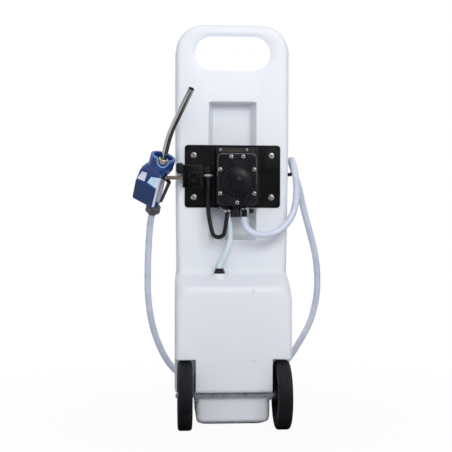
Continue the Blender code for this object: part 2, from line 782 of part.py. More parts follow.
def build_tank():
    """The hollow tank with its neck, hand hole, recess, bosses and fitting seat."""
    tank = tank_body("tank", 0.0, TANK_WHITE)
    void = tank_body("tank_void", TANK_WALL, None)
    combine(void, hand_hole("hand_hole_wall", TANK_WALL, HAND_HOLE_RIM))
    combine(void, wheel_wells("wheel_well_walls", TANK_WALL))
    bosses = cylinders(
        "insert_bosses", bolt_places(), INSERT_BOSS_RADIUS,
        PANEL_Y - OVERRUN, PANEL_Y + INSERT_BOSS_DEPTH, "Y",
    )
    combine(void, bosses)
    neck = cylinders(
        "filler_neck", [(0, FILLER_Z)], NECK_RADIUS, REAR_Y - TANK_WALL / 2, REAR_Y + NECK_LENGTH, "Y", 24,
    )
    combine(tank, neck, "UNION")
    boss = cylinders(
        "fitting_boss", [(FITTING_X, FITTING_Y)], FITTING_BOSS_RADIUS, SHOULDER_FRONT, FITTING_SEAT_Z, "Z", 24,
    )
    combine(tank, boss, "UNION")
    combine(tank, wheel_wells("wheel_wells", 0.0))
    combine(tank, hand_hole("hand_hole", 0.0, HAND_HOLE_RIM))
    combine(tank, void)
    bore = cylinders(
        "filler_bore", [(0, FILLER_Z)], NECK_RADIUS - NECK_WALL,
        REAR_Y - TANK_WALL - OVERRUN, REAR_Y + NECK_LENGTH + OVERRUN, "Y", 24,
    )
    combine(tank, bore)
    holes = cylinders(
        "bolt_holes", bolt_places(), BOLT_RADIUS + HOLE_PLAY,
        PANEL_Y - OVERRUN, PANEL_Y + BOLT_REACH, "Y", 12,
    )
    combine(tank, holes)
    seat = turned(
        [
            (0, SHOULDER_FRONT - TANK_WALL - OVERRUN),
            (FITTING_SHANK_RADIUS + HOLE_PLAY, SHOULDER_FRONT - TANK_WALL - OVERRUN),
            (FITTING_SHANK_RADIUS + HOLE_PLAY, FITTING_SEAT_Z),
            (FITTING_FLANGE_RADIUS + HOLE_PLAY, FITTING_SEAT_Z),
            (FITTING_FLANGE_RADIUS + HOLE_PLAY, FITTING_TOP_Z + OVERRUN),
            (0, FITTING_TOP_Z + OVERRUN),
        ],
        16,
    )
    combine(tank, add_object("fitting_seat", seat, None, (FITTING_X, FITTING_Y, 0)))
    return tank


def build_filler():
    """The cap with its grips, and the gasket on the neck's rim."""
    rim_y = REAR_Y + NECK_LENGTH + GAP
    gasket = turned(
        [
            (NECK_RADIUS - NECK_WALL, 0),
            (NECK_RADIUS, 0),
            (NECK_RADIUS, GASKET_THICKNESS),
            (NECK_RADIUS - NECK_WALL, GASKET_THICKNESS),
        ],
        24, closed=True,
    )
    add_object("filler_gasket", gasket, RUBBER_BLACK, (0, rim_y, FILLER_Z), FACING_BACK)
    inside = GASKET_THICKNESS + GAP
    skirt = CAP_SKIRT
    count = CAP_GRIPS * 2
    loops = []
    edge = CAP_WALL / 2
    for height, inset in ((-skirt, edge), (-skirt + edge, 0.0), (inside + CAP_TOP - edge, 0.0),
                          (inside + CAP_TOP, edge)):
        ring = []
        for index, (x, y) in enumerate(circle(1.0, count)):
            radius = CAP_RADIUS - inset - (CAP_GRIP_DEPTH if index % 2 else 0.0)
            ring.append((x * radius, y * radius, height))
        loops.append(ring)
    cap = add_object("filler_cap", loft(loops), CAP_BLUE, (0, rim_y, FILLER_Z), FACING_BACK)
    hollow = turned(
        [
            (0, -skirt - OVERRUN),
            (NECK_RADIUS + GAP * 2, -skirt - OVERRUN),
            (NECK_RADIUS + GAP * 2, inside),
            (0, inside),
        ],
        32,
    )
    combine(cap, add_object("cap_hollow", hollow, None, (0, rim_y, FILLER_Z), FACING_BACK))


# Wheels, axle and its brackets

def build_wheels():
    """Two hubs and tyres, each on the axle's line."""
    half = TYRE_WIDTH / 2
    shoulder = TYRE_SHOULDER
    tread = WHEEL_RADIUS
    profile = [(TYRE_BORE_RADIUS, -HUB_RIM_WIDTH / 2), (TYRE_BORE_RADIUS + shoulder, -half)]
    profile += [(tread - shoulder, -half)]
    profile += [(tread - shoulder * 0.29, -half + shoulder * 0.29)]
    flat = TYRE_WIDTH / 2 - shoulder
    groove = TREAD_GROOVE
    profile += [(tread, -flat), (tread, -groove), (tread - groove, 0), (tread, groove), (tread, flat)]
    profile += [(tread - shoulder * 0.29, half - shoulder * 0.29)]
    profile += [(tread - shoulder, half)]
    profile += [(TYRE_BORE_RADIUS + shoulder, half), (TYRE_BORE_RADIUS, HUB_RIM_WIDTH / 2)]
    rim_outer = TYRE_BORE_RADIUS - GAP
    rim_inner = rim_outer - HUB_RIM_WALL
    hub_half = HUB_RIM_WIDTH / 2 - GAP
    bore = running_bore(AXLE_RADIUS, WHEEL_STEPS)
    hub_profile = [
        (bore, -HUB_BOSS_LENGTH / 2),
        (HUB_BOSS_RADIUS, -HUB_BOSS_LENGTH / 2),
        (HUB_BOSS_RADIUS + HUB_WEB / 2, -HUB_WEB),
        (rim_inner, -HUB_WEB / 2),
        (rim_inner, -hub_half),
        (rim_outer, -hub_half),
        (rim_outer, hub_half),
        (rim_inner, hub_half),
        (rim_inner, HUB_WEB / 2),
        (HUB_BOSS_RADIUS + HUB_WEB / 2, HUB_WEB),
        (HUB_BOSS_RADIUS, HUB_BOSS_LENGTH / 2 - HUB_WEB),
        (bore, HUB_BOSS_LENGTH / 2 - HUB_WEB),
    ]
    for name, side in (("left", -1), ("right", 1)):
        place = (side * (WHEEL_SPAN / 2 - half), AXLE_Y, AXLE_Z)
        outward = (0, math.radians(90 * side), 0)
        add_object(f"tyre_{name}", turned(profile, WHEEL_STEPS, closed=True), TYRE_BLACK, place, outward)
        add_object(f"wheel_hub_{name}", turned(hub_profile, WHEEL_STEPS, closed=True), HUB_GREY, place, outward)
    nut_place = WHEEL_SPAN / 2 - half + HUB_BOSS_LENGTH / 2 - HUB_WEB + GAP
    axle_end = nut_place + AXLE_NUT_WIDTH + AXLE_END
    chamfer = AXLE_END / 4
    axle = turned(
        [
            (0, -axle_end), (AXLE_RADIUS - chamfer, -axle_end), (AXLE_RADIUS, -axle_end + chamfer),
            (AXLE_RADIUS, axle_end - chamfer), (AXLE_RADIUS - chamfer, axle_end), (0, axle_end),
        ],
        16,
    )
    add_object("axle", axle, ZINC, (0, AXLE_Y, AXLE_Z), FACING_RIGHT)
    for name, side in (("left", -1), ("right", 1)):
        nut = turned(
            [
                (AXLE_RADIUS + GAP, 0), (AXLE_NUT_RADIUS, 0), (AXLE_NUT_RADIUS, AXLE_NUT_WIDTH / 2),
                (AXLE_NUT_RADIUS * 0.8, AXLE_NUT_WIDTH), (AXLE_RADIUS + GAP, AXLE_NUT_WIDTH),
            ],
            16, closed=True,
        )
        place = (side * nut_place, AXLE_Y, AXLE_Z)
        add_object(f"axle_nut_{name}", nut, ZINC, place, (0, math.radians(90 * side), 0))
        outer = side * AXLE_BRACKET_OUTER
        inner = outer - side * AXLE_BRACKET_WIDTH
        radius = AXLE_RADIUS + AXLE_BRACKET_WALL
        front = AXLE_Y - radius
        back = TOE_Y - GAP
        top = BULGE_BOTTOM - DRAFT_RISE - GAP
        relief = EDGE_RADIUS / 2 + GAP
        outline = arc((AXLE_Y, AXLE_Z), (radius, radius), 180, 270, 5)
        outline += [(back, AXLE_Z - radius), (back, top - relief), (back - relief, top), (front, top)]
        bracket = add_object(
            f"axle_bracket_{name}", prism(outline, min(inner, outer), max(inner, outer), "X"), ZINC,
        )
        hole = prism(
            circle(AXLE_RADIUS + GAP, 16, (AXLE_Y, AXLE_Z)),
            min(inner, outer) - OVERRUN, max(inner, outer) + OVERRUN, "X",
        )
        combine(bracket, add_object(f"axle_hole_{name}", hole, None))


# Plate, bracket, motor and pump head

def build_plate():
    """The plate, with holes for its bolts, the motor and the elbow."""
    outline = rounded_rectangle((0, PLATE_Z), PLATE_WIDTH, PLATE_HEIGHT, PLATE_CORNER, 3)
    plate = add_object("pump_plate", prism(outline, PLATE_FRONT_Y, PLATE_BACK_Y), PLATE_BLACK)
    low = PLATE_FRONT_Y - OVERRUN
    high = PLATE_BACK_Y + OVERRUN
    combine(plate, cylinders("plate_holes", bolt_places(), BOLT_RADIUS + HOLE_PLAY, low, high, "Y", 10))
    motor = cylinders("motor_opening", [(PUMP_X, PUMP_Z)], MOTOR_OPENING_RADIUS, low, high, "Y", 24)
    combine(plate, motor)
    elbow = cylinders("elbow_hole", [(ELBOW_X, ELBOW_Z)], ELBOW_RADIUS + GAP, low, high, "Y", 16)
    combine(plate, elbow)
    head = [
        (BOLT_FLANGE_RADIUS, 0.0, False),
        (BOLT_FLANGE_RADIUS, BOLT_FLANGE_THICKNESS, False),
        (BOLT_HEAD_RADIUS, BOLT_FLANGE_THICKNESS + GAP, True),
        (BOLT_HEAD_RADIUS, BOLT_FLANGE_THICKNESS + BOLT_HEAD_HEIGHT, True),
    ]
    reach = BOLT_REACH + PLATE_THICKNESS - HOLE_PLAY
    for number, (x, z) in enumerate(bolt_places(), 1):
        place = (x, PLATE_FRONT_Y - GAP, z)
        fastener(f"plate_bolt_{number}", head, BOLT_RADIUS, reach, place, FACING_FRONT, STAINLESS)


def build_bracket():
    """The bent bracket that stands the pump off the plate."""
    back = PLATE_FRONT_Y - GAP
    sheet = BRACKET_SHEET
    outline = [
        (BRACKET_LEFT_X - BRACKET_FOOT, back),
        (BRACKET_LEFT_X - BRACKET_FOOT, back - sheet),
        (BRACKET_LEFT_X, back - sheet),
        (BRACKET_LEFT_X, LEAF_FRONT_Y),
        (BRACKET_RIGHT_X, LEAF_FRONT_Y),
        (BRACKET_RIGHT_X, back - sheet),
        (BRACKET_RIGHT_X + BRACKET_FOOT, back - sheet),
        (BRACKET_RIGHT_X + BRACKET_FOOT, back),
        (BRACKET_RIGHT_X - sheet, back),
        (BRACKET_RIGHT_X - sheet, LEAF_BACK_Y),
        (BRACKET_LEFT_X + sheet, LEAF_BACK_Y),
        (BRACKET_LEFT_X + sheet, back),
    ]
    bracket = add_object("pump_bracket", prism(outline, BRACKET_BOTTOM, BRACKET_TOP, "Z"), PLATE_BLACK)
    front = LEAF_FRONT_Y - OVERRUN
    behind = LEAF_BACK_Y + OVERRUN
    combine(bracket, cylinders("pilot_hole", [(PUMP_X, PUMP_Z)], CAVITY_RADIUS, front, behind, "Y", 24))
    places = [(-BRACKET_SCREW_X, BRACKET_SCREW_Z), (BRACKET_SCREW_X, BRACKET_SCREW_Z)]
    combine(bracket, cylinders("bracket_holes", places, SCREW_RADIUS + HOLE_PLAY, front, behind, "Y", 8))
    small = 0.8
    for number, (x, z) in enumerate(places, 1):
        fastener(
            f"bracket_screw_{number}", screw_head(small), SCREW_RADIUS, SCREW_REACH / 2,
            (x, LEAF_FRONT_Y - GAP, z), FACING_FRONT, STAINLESS,
        )


def screw_head(share):
    """A domed pan head, smaller by a share."""
    return [
        (SCREW_HEAD_RADIUS * share, 0.0, False),
        (SCREW_HEAD_RADIUS * share, SCREW_HEAD_HEIGHT * 0.5, False),
        (SCREW_HEAD_RADIUS * share * 0.6, SCREW_HEAD_HEIGHT, False),
    ]


def screw_places():
    """The seven cover screws, in X and Z."""
    return [
        (PUMP_X - TOP_SCREW_X, PUMP_Z + TOP_SCREW_Z),
        (PUMP_X + TOP_SCREW_X, PUMP_Z + TOP_SCREW_Z),
        (PUMP_X - SIDE_SCREW_X, PUMP_Z + UPPER_SCREW_Z),
        (PUMP_X + SIDE_SCREW_X, PUMP_Z + UPPER_SCREW_Z),
        (PUMP_X - SIDE_SCREW_X, PUMP_Z - LOWER_SCREW_Z),
        (PUMP_X + SIDE_SCREW_X, PUMP_Z - LOWER_SCREW_Z),
        (PUMP_X, PUMP_Z - BOTTOM_SCREW_Z),
    ]


def build_motor():
    """The motor behind the head, its end cap, and the shaft with its eccentric."""
    place = (PUMP_X, MOTOR_FRONT_Y, PUMP_Z)
    bore = running_bore(SHAFT_RADIUS, MOTOR_STEPS)
    shaft_room = SHAFT_IN_MOTOR + HOLE_PLAY
    edge = MOTOR_CAP_OVERHANG
    can = turned(
        [
            (bore, 0), (MOTOR_RADIUS - edge, 0), (MOTOR_RADIUS, edge), (MOTOR_RADIUS, MOTOR_LENGTH),
            (0, MOTOR_LENGTH), (0, shaft_room), (bore, shaft_room),
        ],
        MOTOR_STEPS, closed=True,
    )
    add_object("motor_can", can, MOTOR_STEEL, place, FACING_BACK)
    cap_radius = MOTOR_RADIUS + MOTOR_CAP_OVERHANG
    cap = turned(
        [
            (0, 0), (cap_radius, 0), (cap_radius, MOTOR_CAP_LENGTH * 0.6),
            (cap_radius - MOTOR_CAP_LENGTH * 0.4, MOTOR_CAP_LENGTH), (0, MOTOR_CAP_LENGTH),
        ],
        MOTOR_STEPS,
    )
    add_object("motor_end_cap", cap, PLASTIC_BLACK, (PUMP_X, MOTOR_REAR_Y + GAP, PUMP_Z), FACING_BACK)
    sides = 16
    start = ECCENTRIC_CLEAR + BRACKET_SHEET + GAP
    loops = []
    for radius, throw, height in (
        (SHAFT_RADIUS, 0.0, -SHAFT_IN_MOTOR),
        (SHAFT_RADIUS, 0.0, start),
        (ECCENTRIC_RADIUS, ECCENTRIC_THROW, start + GAP),
        (ECCENTRIC_RADIUS, ECCENTRIC_THROW, start + ECCENTRIC_WIDTH),
    ):
        loops.append([(x + throw, y, height) for x, y in circle(radius, sides)])
    add_object("motor_shaft", loft(loops), STAINLESS, place, FACING_FRONT)


def head_outline(inset):
    """The pump head's outline, drawn in by an inset."""
    return rounded_rectangle(
        (PUMP_X, PUMP_Z), HEAD_WIDTH - 2 * inset, HEAD_HEIGHT - 2 * inset, HEAD_CORNER - inset,
    )


def head_block(name, levels, finish):
    """A block of the head: levels are pairs of Y and inset."""
    return add_object(name, loft([[(x, y, z) for x, z in head_outline(inset)] for y, inset in levels]), finish)


def build_dome():
    """The ribbed round dome on the cover, as rings whose every other point stands proud."""
    count = DOME_RIB_COUNT * 2
    root = DOME_RADIUS
    rings = (
        (root, -OVERRUN, 0.0),
        (root * 0.98, DOME_RISE * 0.16, 0.3),
        (root * 0.91, DOME_RISE * 0.42, 1.0),
        (root * 0.72, DOME_RISE * 0.76, 1.0),
        (root * 0.60, DOME_RISE * 0.89, 0.0),
        (DOME_BOSS_RADIUS + DOME_BOSS_RISE, DOME_RISE, 0.0),
        (DOME_BOSS_RADIUS, DOME_RISE + DOME_BOSS_RISE, 0.0),
    )
    loops = []
    for radius, height, rib_share in rings:
        ring = []
        for index, (x, y) in enumerate(circle(radius, count)):
            rib = 0.0 if index % 2 else DOME_RIB_RISE * rib_share
            ring.append((x, y, height + rib))
        loops.append(ring)
    place = (PUMP_X, COVER_FRONT_Y, PUMP_Z - DOME_DROP)
    return add_object("cover_dome", loft(loops), None, place, FACING_FRONT)


def build_head():
    """Body, diaphragm and cover, held by seven screws."""
    edge = HEAD_EDGE
    body = head_block(
        "pump_body", [(BODY_FRONT_Y, 0.0), (BODY_BACK_Y - edge, 0.0), (BODY_BACK_Y, edge)], PLASTIC_BLACK,
    )
    deep = BODY_BACK_Y - CAVITY_DEPTH
    behind = BODY_BACK_Y + OVERRUN
    combine(body, cylinders("body_cavity", [(PUMP_X, PUMP_Z)], CAVITY_RADIUS, deep, behind, "Y", 24))
    diaphragm = head_block(
        "pump_diaphragm", [(DIAPHRAGM_FRONT_Y, edge / 3), (DIAPHRAGM_BACK_Y, edge / 3)], RUBBER_BLACK,
    )
    cover = head_block(
        "pump_cover",
        [
            (COVER_FRONT_Y, edge), (COVER_FRONT_Y + edge * 0.3, edge * 0.3),
            (COVER_FRONT_Y + edge, 0.0), (COVER_BACK_Y, 0.0),
        ],
        PLASTIC_BLACK,
    )
    combine(cover, build_dome(), "UNION")
    seat = COVER_FRONT_Y - GAP
    reach = COVER_DEPTH + DIAPHRAGM_THICKNESS + SCREW_REACH
    hole = SCREW_RADIUS + HOLE_PLAY
    end = seat + reach + HOLE_PLAY
    for target, low, high in (
        (cover, COVER_FRONT_Y - OVERRUN, COVER_BACK_Y + OVERRUN),
        (diaphragm, DIAPHRAGM_FRONT_Y - OVERRUN, DIAPHRAGM_BACK_Y + OVERRUN),
        (body, BODY_FRONT_Y - OVERRUN, end),
    ):
        combine(target, cylinders(f"{target.name}_screw_holes", screw_places(), hole, low, high, "Y", 8))
    for number, (x, z) in enumerate(screw_places(), 1):
        place = (x, seat, z)
        fastener(f"cover_screw_{number}", screw_head(1.0), SCREW_RADIUS, reach, place, FACING_FRONT, STAINLESS)


def clamp(name, place, inner_radius):
    """A hose clamp: a band with a screw lug that faces front and right."""
    outer = inner_radius + CLAMP_BAND
    lug = CLAMP_LUG / 2
    outline_outer = []
    count = 20
    for step in range(count):
        angle = 2 * math.pi * step / count - math.pi / 2
        x = outer * math.cos(angle)
        y = outer * math.sin(angle)
        if step in (0, 1, count - 1):
            x = (-lug, 0.0, lug)[(step + 1) % count]
            y = -outer - lug
        outline_outer.append((x, y))
    bm = prism(outline_outer, -CLAMP_WIDTH / 2, CLAMP_WIDTH / 2, "Z")
    turn = (0, 0, math.radians(CLAMP_TURN))
    band = add_object(name, bm, STAINLESS, place, turn)
    hole = cylinders(f"{name}_hole", [(0, 0)], inner_radius, -CLAMP_WIDTH, CLAMP_WIDTH, "Z", count)
    hole.location = place
    hole.rotation_euler = turn
    return combine(band, hole)


def build_ports():
    """The ports, clamps and adjusting cap under the pump."""
    lip = OUTLET_LIP
    outlet = turned(
        [
            (0, 0), (OUTLET_RADIUS + lip, 0), (OUTLET_RADIUS + lip, lip), (OUTLET_RADIUS, lip * 1.5),
            (OUTLET_RADIUS, OUTLET_LENGTH - lip), (OUTLET_RADIUS - lip / 2, OUTLET_LENGTH), (0, OUTLET_LENGTH),
        ],
        20,
    )
    add_object("outlet_port", outlet, PLASTIC_BLACK, (OUTLET_X, OUTLET_Y, PORT_TOP), FACING_DOWN)
    outlet_clamp_z = PORT_TOP - OUTLET_CLAMP_DROP - CLAMP_WIDTH / 2
    clamp("outlet_clamp", (OUTLET_X, OUTLET_Y, outlet_clamp_z), OUTLET_RADIUS + GAP)
    block_left = BYPASS_X + BYPASS_BLOCK_DEPTH / 2 - BYPASS_BLOCK_LENGTH
    outline = rounded_rectangle(
        (block_left + BYPASS_BLOCK_LENGTH / 2, BYPASS_Y), BYPASS_BLOCK_LENGTH, BYPASS_BLOCK_DEPTH,
        BYPASS_BLOCK_DEPTH / 2 - GAP, 4,
    )
    block_bottom = PORT_TOP - BYPASS_BLOCK_HEIGHT
    block = add_object("bypass_port", prism(outline, block_bottom, PORT_TOP, "Z"), PLASTIC_BLACK)
    spigot = cylinders(
        "bypass_spigot", [(BYPASS_X, BYPASS_Y)], BYPASS_HOSE_RADIUS - GAP,
        block_bottom - BYPASS_SPIGOT, block_bottom + BYPASS_SPIGOT, "Z", 16,
    )
    combine(block, spigot, "UNION")
    clamp_z = block_bottom - BYPASS_SPIGOT / 2 - CLAMP_WIDTH / 2
    clamp("bypass_clamp", (BYPASS_X, BYPASS_Y, clamp_z), BYPASS_HOSE_RADIUS + GAP)
    suction = turned(
        [
            (0, 0), (SUCTION_HOSE_RADIUS, 0), (SUCTION_HOSE_RADIUS, SUCTION_COLLAR), (0, SUCTION_COLLAR),
        ],
        20,
    )
    add_object("suction_port", suction, PLASTIC_BLACK, (SUCTION_X, SUCTION_Y, PORT_TOP), FACING_DOWN)
    edge = CAP_CYLINDER_EDGE
    cap = turned(
        [
            (0, 0), (CAP_CYLINDER_RADIUS, 0), (CAP_CYLINDER_RADIUS, CAP_CYLINDER_LENGTH - edge),
            (CAP_CYLINDER_RADIUS - edge, CAP_CYLINDER_LENGTH), (0, CAP_CYLINDER_LENGTH),
        ],
        28,
    )
    add_object("bypass_cap", cap, PLASTIC_BLACK, (CAP_X, CAP_Y, PORT_TOP), FACING_DOWN)


def build_elbow():
    """The elbow through the plate, with its nut and the barb for the black hose."""
    back = PLATE_BACK_Y
    front = PLATE_FRONT_Y - ELBOW_REACH
    path = bend((ELBOW_X, back, ELBOW_Z), (ELBOW_X, front, ELBOW_Z),
                (ELBOW_X, front, ELBOW_Z - ELBOW_NUT_DROP), ELBOW_RADIUS, 5)
    elbow = add_object("return_elbow", sweep(path, ELBOW_RADIUS, 12), PLASTIC_BLACK)
    flange = cylinders(
        "elbow_flange", [(ELBOW_X, ELBOW_Z)], ELBOW_FLANGE_RADIUS,
        PLATE_FRONT_Y - GAP - ELBOW_FLANGE_WIDTH, PLATE_FRONT_Y - GAP, "Y", 24,
    )
    combine(elbow, flange, "UNION")
    nut_top = ELBOW_Z - ELBOW_NUT_DROP
    barb = cylinders(
        "elbow_barb", [(ELBOW_X, front)], ELBOW_BARB_RADIUS, ELBOW_BARB_BOTTOM, nut_top + OVERRUN, "Z", 16,
    )
    combine(elbow, barb, "UNION")
    hexagon = circle(ELBOW_NUT_RADIUS, 6, (ELBOW_X, front))
    nut = add_object(
        "elbow_nut", prism(hexagon, nut_top - GAP - ELBOW_NUT_HEIGHT, nut_top - GAP, "Z"),
        STAINLESS, smooth=False,
    )
    hole = cylinders(
        "elbow_nut_hole", [(ELBOW_X, front)], ELBOW_BARB_RADIUS + GAP,
        nut_top - ELBOW_NUT_HEIGHT - OVERRUN, nut_top + OVERRUN, "Z", 16,
    )
    combine(nut, hole)


def arched(width, bottom, height, middle, inset=0.0):
    """A D-shaped outline: square at the foot and round at the top."""
    half = width / 2 - inset
    spring = bottom + height - width / 2
    outline = [(middle - half, bottom + inset), (middle + half, bottom + inset)]
    return outline + arc((middle, spring), (half, half), 0, 180, 10)


def build_holder():
    """The holder's bent sheet, its bumper and rod, and the switch on it."""
    back = PLATE_FRONT_Y - GAP
    front = back - LEAF_SHEET
    outline = [
        (LEAF_RIGHT_X, back), (LEAF_LEFT_X, back), (LEAF_LEFT_X, back - FLANGE_REACH),
        (LEAF_LEFT_X + LEAF_SHEET, back - FLANGE_REACH), (LEAF_LEFT_X + LEAF_SHEET, front),
        (LEAF_RIGHT_X, front),
    ]
    add_object("holder_bracket", prism(outline, LEAF_BOTTOM_Z, LEAF_TOP_Z, "Z"), PLATE_BLACK)
    seat_x = LEAF_LEFT_X - GAP
    edge = CRADLE_EDGE
    cradle_left = seat_x - CRADLE_WIDTH
    middle = (CRADLE_FRONT_Y + CRADLE_BACK_Y) / 2
    depth = CRADLE_BACK_Y - CRADLE_FRONT_Y
    loops = []
    sections = (
        (cradle_left, edge), (cradle_left + edge * 0.3, edge * 0.3), (cradle_left + edge, 0.0), (seat_x, 0.0),
    )
    for x, inset in sections:
        ring = rounded_rectangle((middle, CRADLE_MIDDLE_Z), depth - 2 * inset, CRADLE_HEIGHT - 2 * inset,
                                 edge * 1.5 - inset)
        loops.append([(x, y, z) for y, z in ring])
    add_object("nozzle_cradle", loft(loops), RUBBER_BLACK)
    rod = turned(
        [
            (0, 0), (ROD_RADIUS * 1.6, 0), (ROD_RADIUS * 1.6, ROD_RADIUS), (ROD_RADIUS, ROD_RADIUS),
            (ROD_RADIUS, seat_x - ROD_TIP_X - ROD_RADIUS),
            (ROD_RADIUS * 0.7, seat_x - ROD_TIP_X - ROD_RADIUS * 0.3),
            (0, seat_x - ROD_TIP_X),
        ],
        16,
    )
    add_object("hook_rod", rod, STAINLESS, (seat_x, ROD_Y, ROD_Z), (0, math.radians(-90), 0))
    switch_back = front - GAP
    switch_front = switch_back - SWITCH_DEPTH
    edge = SWITCH_DEPTH * 0.15
    loops = []
    for y, inset in ((switch_front, edge), (switch_front + edge, 0.0), (switch_back, 0.0)):
        outline = arched(SWITCH_WIDTH, SWITCH_BOTTOM, SWITCH_HEIGHT, SWITCH_X, inset)
        loops.append([(x, y, z) for x, z in outline])
    housing = add_object("switch_housing", loft(loops), PLASTIC_BLACK)
    window_z = SWITCH_BOTTOM + SWITCH_HEIGHT * 0.45
    window = prism(
        rounded_rectangle((SWITCH_X, window_z), SWITCH_WINDOW_WIDTH, SWITCH_WINDOW_HEIGHT, ROCKER_PLAY * 2, 1),
        switch_front - OVERRUN, switch_front + SWITCH_WINDOW_DEPTH,
    )
    combine(housing, add_object("switch_window", window, None))
    half = SWITCH_WINDOW_HEIGHT / 2 - ROCKER_PLAY * 2
    inner = SWITCH_WINDOW_DEPTH - ROCKER_BACK_CLEAR
    rocker_outline = [
        (-ROCKER_PROUD, 0.0), (-ROCKER_PROUD * 1.4, half), (inner * 0.35, half),
        (inner, half * 0.35), (inner, -half * 0.35), (inner * 0.35, -half), (-ROCKER_PROUD * 1.4, -half),
    ]
    width = SWITCH_WINDOW_WIDTH / 2 - ROCKER_PLAY
    add_object(
        "switch_rocker", prism(rocker_outline, -width, width, "X"), PLASTIC_BLACK,
        (SWITCH_X, switch_front, window_z),
    )


def build_suction():
    """The fitting on the shoulder, the dip tube and its strainer."""
    flange_bottom = FITTING_TOP_Z - FITTING_FLANGE_HEIGHT
    shank_bottom = SHOULDER_FRONT - TANK_WALL - OVERRUN
    bore = DIP_TUBE_RADIUS + GAP
    fitting = turned(
        [
            (bore, shank_bottom), (FITTING_SHANK_RADIUS, shank_bottom), (FITTING_SHANK_RADIUS, flange_bottom),
            (FITTING_FLANGE_RADIUS, flange_bottom), (FITTING_FLANGE_RADIUS, FITTING_TOP_Z),
            (bore, FITTING_TOP_Z),
        ],
        16, closed=True,
    )
    add_object("suction_fitting", fitting, PLASTIC_BLACK, (FITTING_X, FITTING_Y, 0))
    nut_bottom = FITTING_TOP_Z + GAP
    nut_bore = SUCTION_HOSE_RADIUS + GAP
    nut = turned(
        [
            (nut_bore, nut_bottom), (FITTING_NUT_RADIUS, nut_bottom),
            (FITTING_NUT_RADIUS, nut_bottom + FITTING_NUT_HEIGHT * 0.8),
            (FITTING_NUT_RADIUS * 0.85, nut_bottom + FITTING_NUT_HEIGHT),
            (nut_bore, nut_bottom + FITTING_NUT_HEIGHT),
        ],
        16, closed=True,
    )
    add_object("suction_nut", nut, PLASTIC_BLACK, (FITTING_X, FITTING_Y, 0))
    inner = DIP_TUBE_RADIUS - DIP_TUBE_WALL
    tube = turned(
        [
            (inner, DIP_TUBE_BOTTOM), (DIP_TUBE_RADIUS, DIP_TUBE_BOTTOM), (DIP_TUBE_RADIUS, FITTING_TOP_Z),
            (inner, FITTING_TOP_Z),
        ],
        16, closed=True,
    )
    add_object("dip_tube", tube, HOSE_CLEAR, (FITTING_X, FITTING_Y, 0))
    top = STRAINER_BOTTOM + STRAINER_HEIGHT
    socket = DIP_TUBE_RADIUS + GAP
    strainer = turned(
        [
            (0, STRAINER_BOTTOM), (STRAINER_RADIUS, STRAINER_BOTTOM),
            (STRAINER_RADIUS, top - STRAINER_HEIGHT * 0.2),
            (socket + DIP_TUBE_WALL, top + DIP_TUBE_WALL), (socket, top + DIP_TUBE_WALL),
            (socket, DIP_TUBE_BOTTOM - GAP), (0, DIP_TUBE_BOTTOM - GAP),
        ],
        16,
    )
    add_object("foot_strainer", strainer, PLASTIC_BLACK, (FITTING_X, FITTING_Y, 0))


def build_hook():
    """The hook that carries the delivery hose at the tank's right side."""
    half = tank_profiles()[0]
    edges = (HOOK_Z - HOOK_BASE_RADIUS, HOOK_Z, HOOK_Z + HOOK_BASE_RADIUS)
    side = max(value_at(half, height) for height in edges) + GAP
    face = side + HOOK_BASE_THICKNESS
    base = cylinders("hose_hook", [(HOOK_Y, HOOK_Z)], HOOK_BASE_RADIUS, side, face, "X", 20)
    base.data.materials.append(PLASTIC_BLACK)
    out = side + HOOK_OUT
    tip = side + HOOK_TIP_OUT
    path = bend((side + HOOK_BASE_THICKNESS / 2, HOOK_Y, HOOK_Z), (out, HOOK_Y, HOOK_Z),
                (tip, HOOK_Y, HOOK_Z + HOOK_OUT), HOOK_ROD_RADIUS, 3)
    combine(base, add_object("hook_arm", sweep(path, HOOK_ROD_RADIUS, 12), None), "UNION")


# Nozzle

def nozzle_section(height, left, right, half, corner):
    """One section of the nozzle body: a rectangle with elliptical corners."""
    corner_x = min(corner, (right - left) / 2 - GAP)
    corner_y = min(corner, half - GAP)
    steps = NOZZLE_CORNER_STEPS
    radii = (corner_x, corner_y)
    outline = arc((right - corner_x, -half + corner_y), radii, -90, 0, steps)
    outline += arc((right - corner_x, half - corner_y), radii, 0, 90, steps)
    outline += arc((left + corner_x, half - corner_y), radii, 90, 180, steps)
    outline += arc((left + corner_x, -half + corner_y), radii, 180, 270, steps)
    return [(x, y, height) for x, y in outline]


def nozzle_axes():
    """How the hung nozzle is turned."""
    lean = Euler((0, math.radians(NOZZLE_LEAN), 0)).to_matrix()
    tilt = Euler((math.radians(NOZZLE_TILT), 0, 0)).to_matrix()
    turn = Euler((0, 0, math.radians(NOZZLE_TURN))).to_matrix()
    return lean @ tilt @ turn


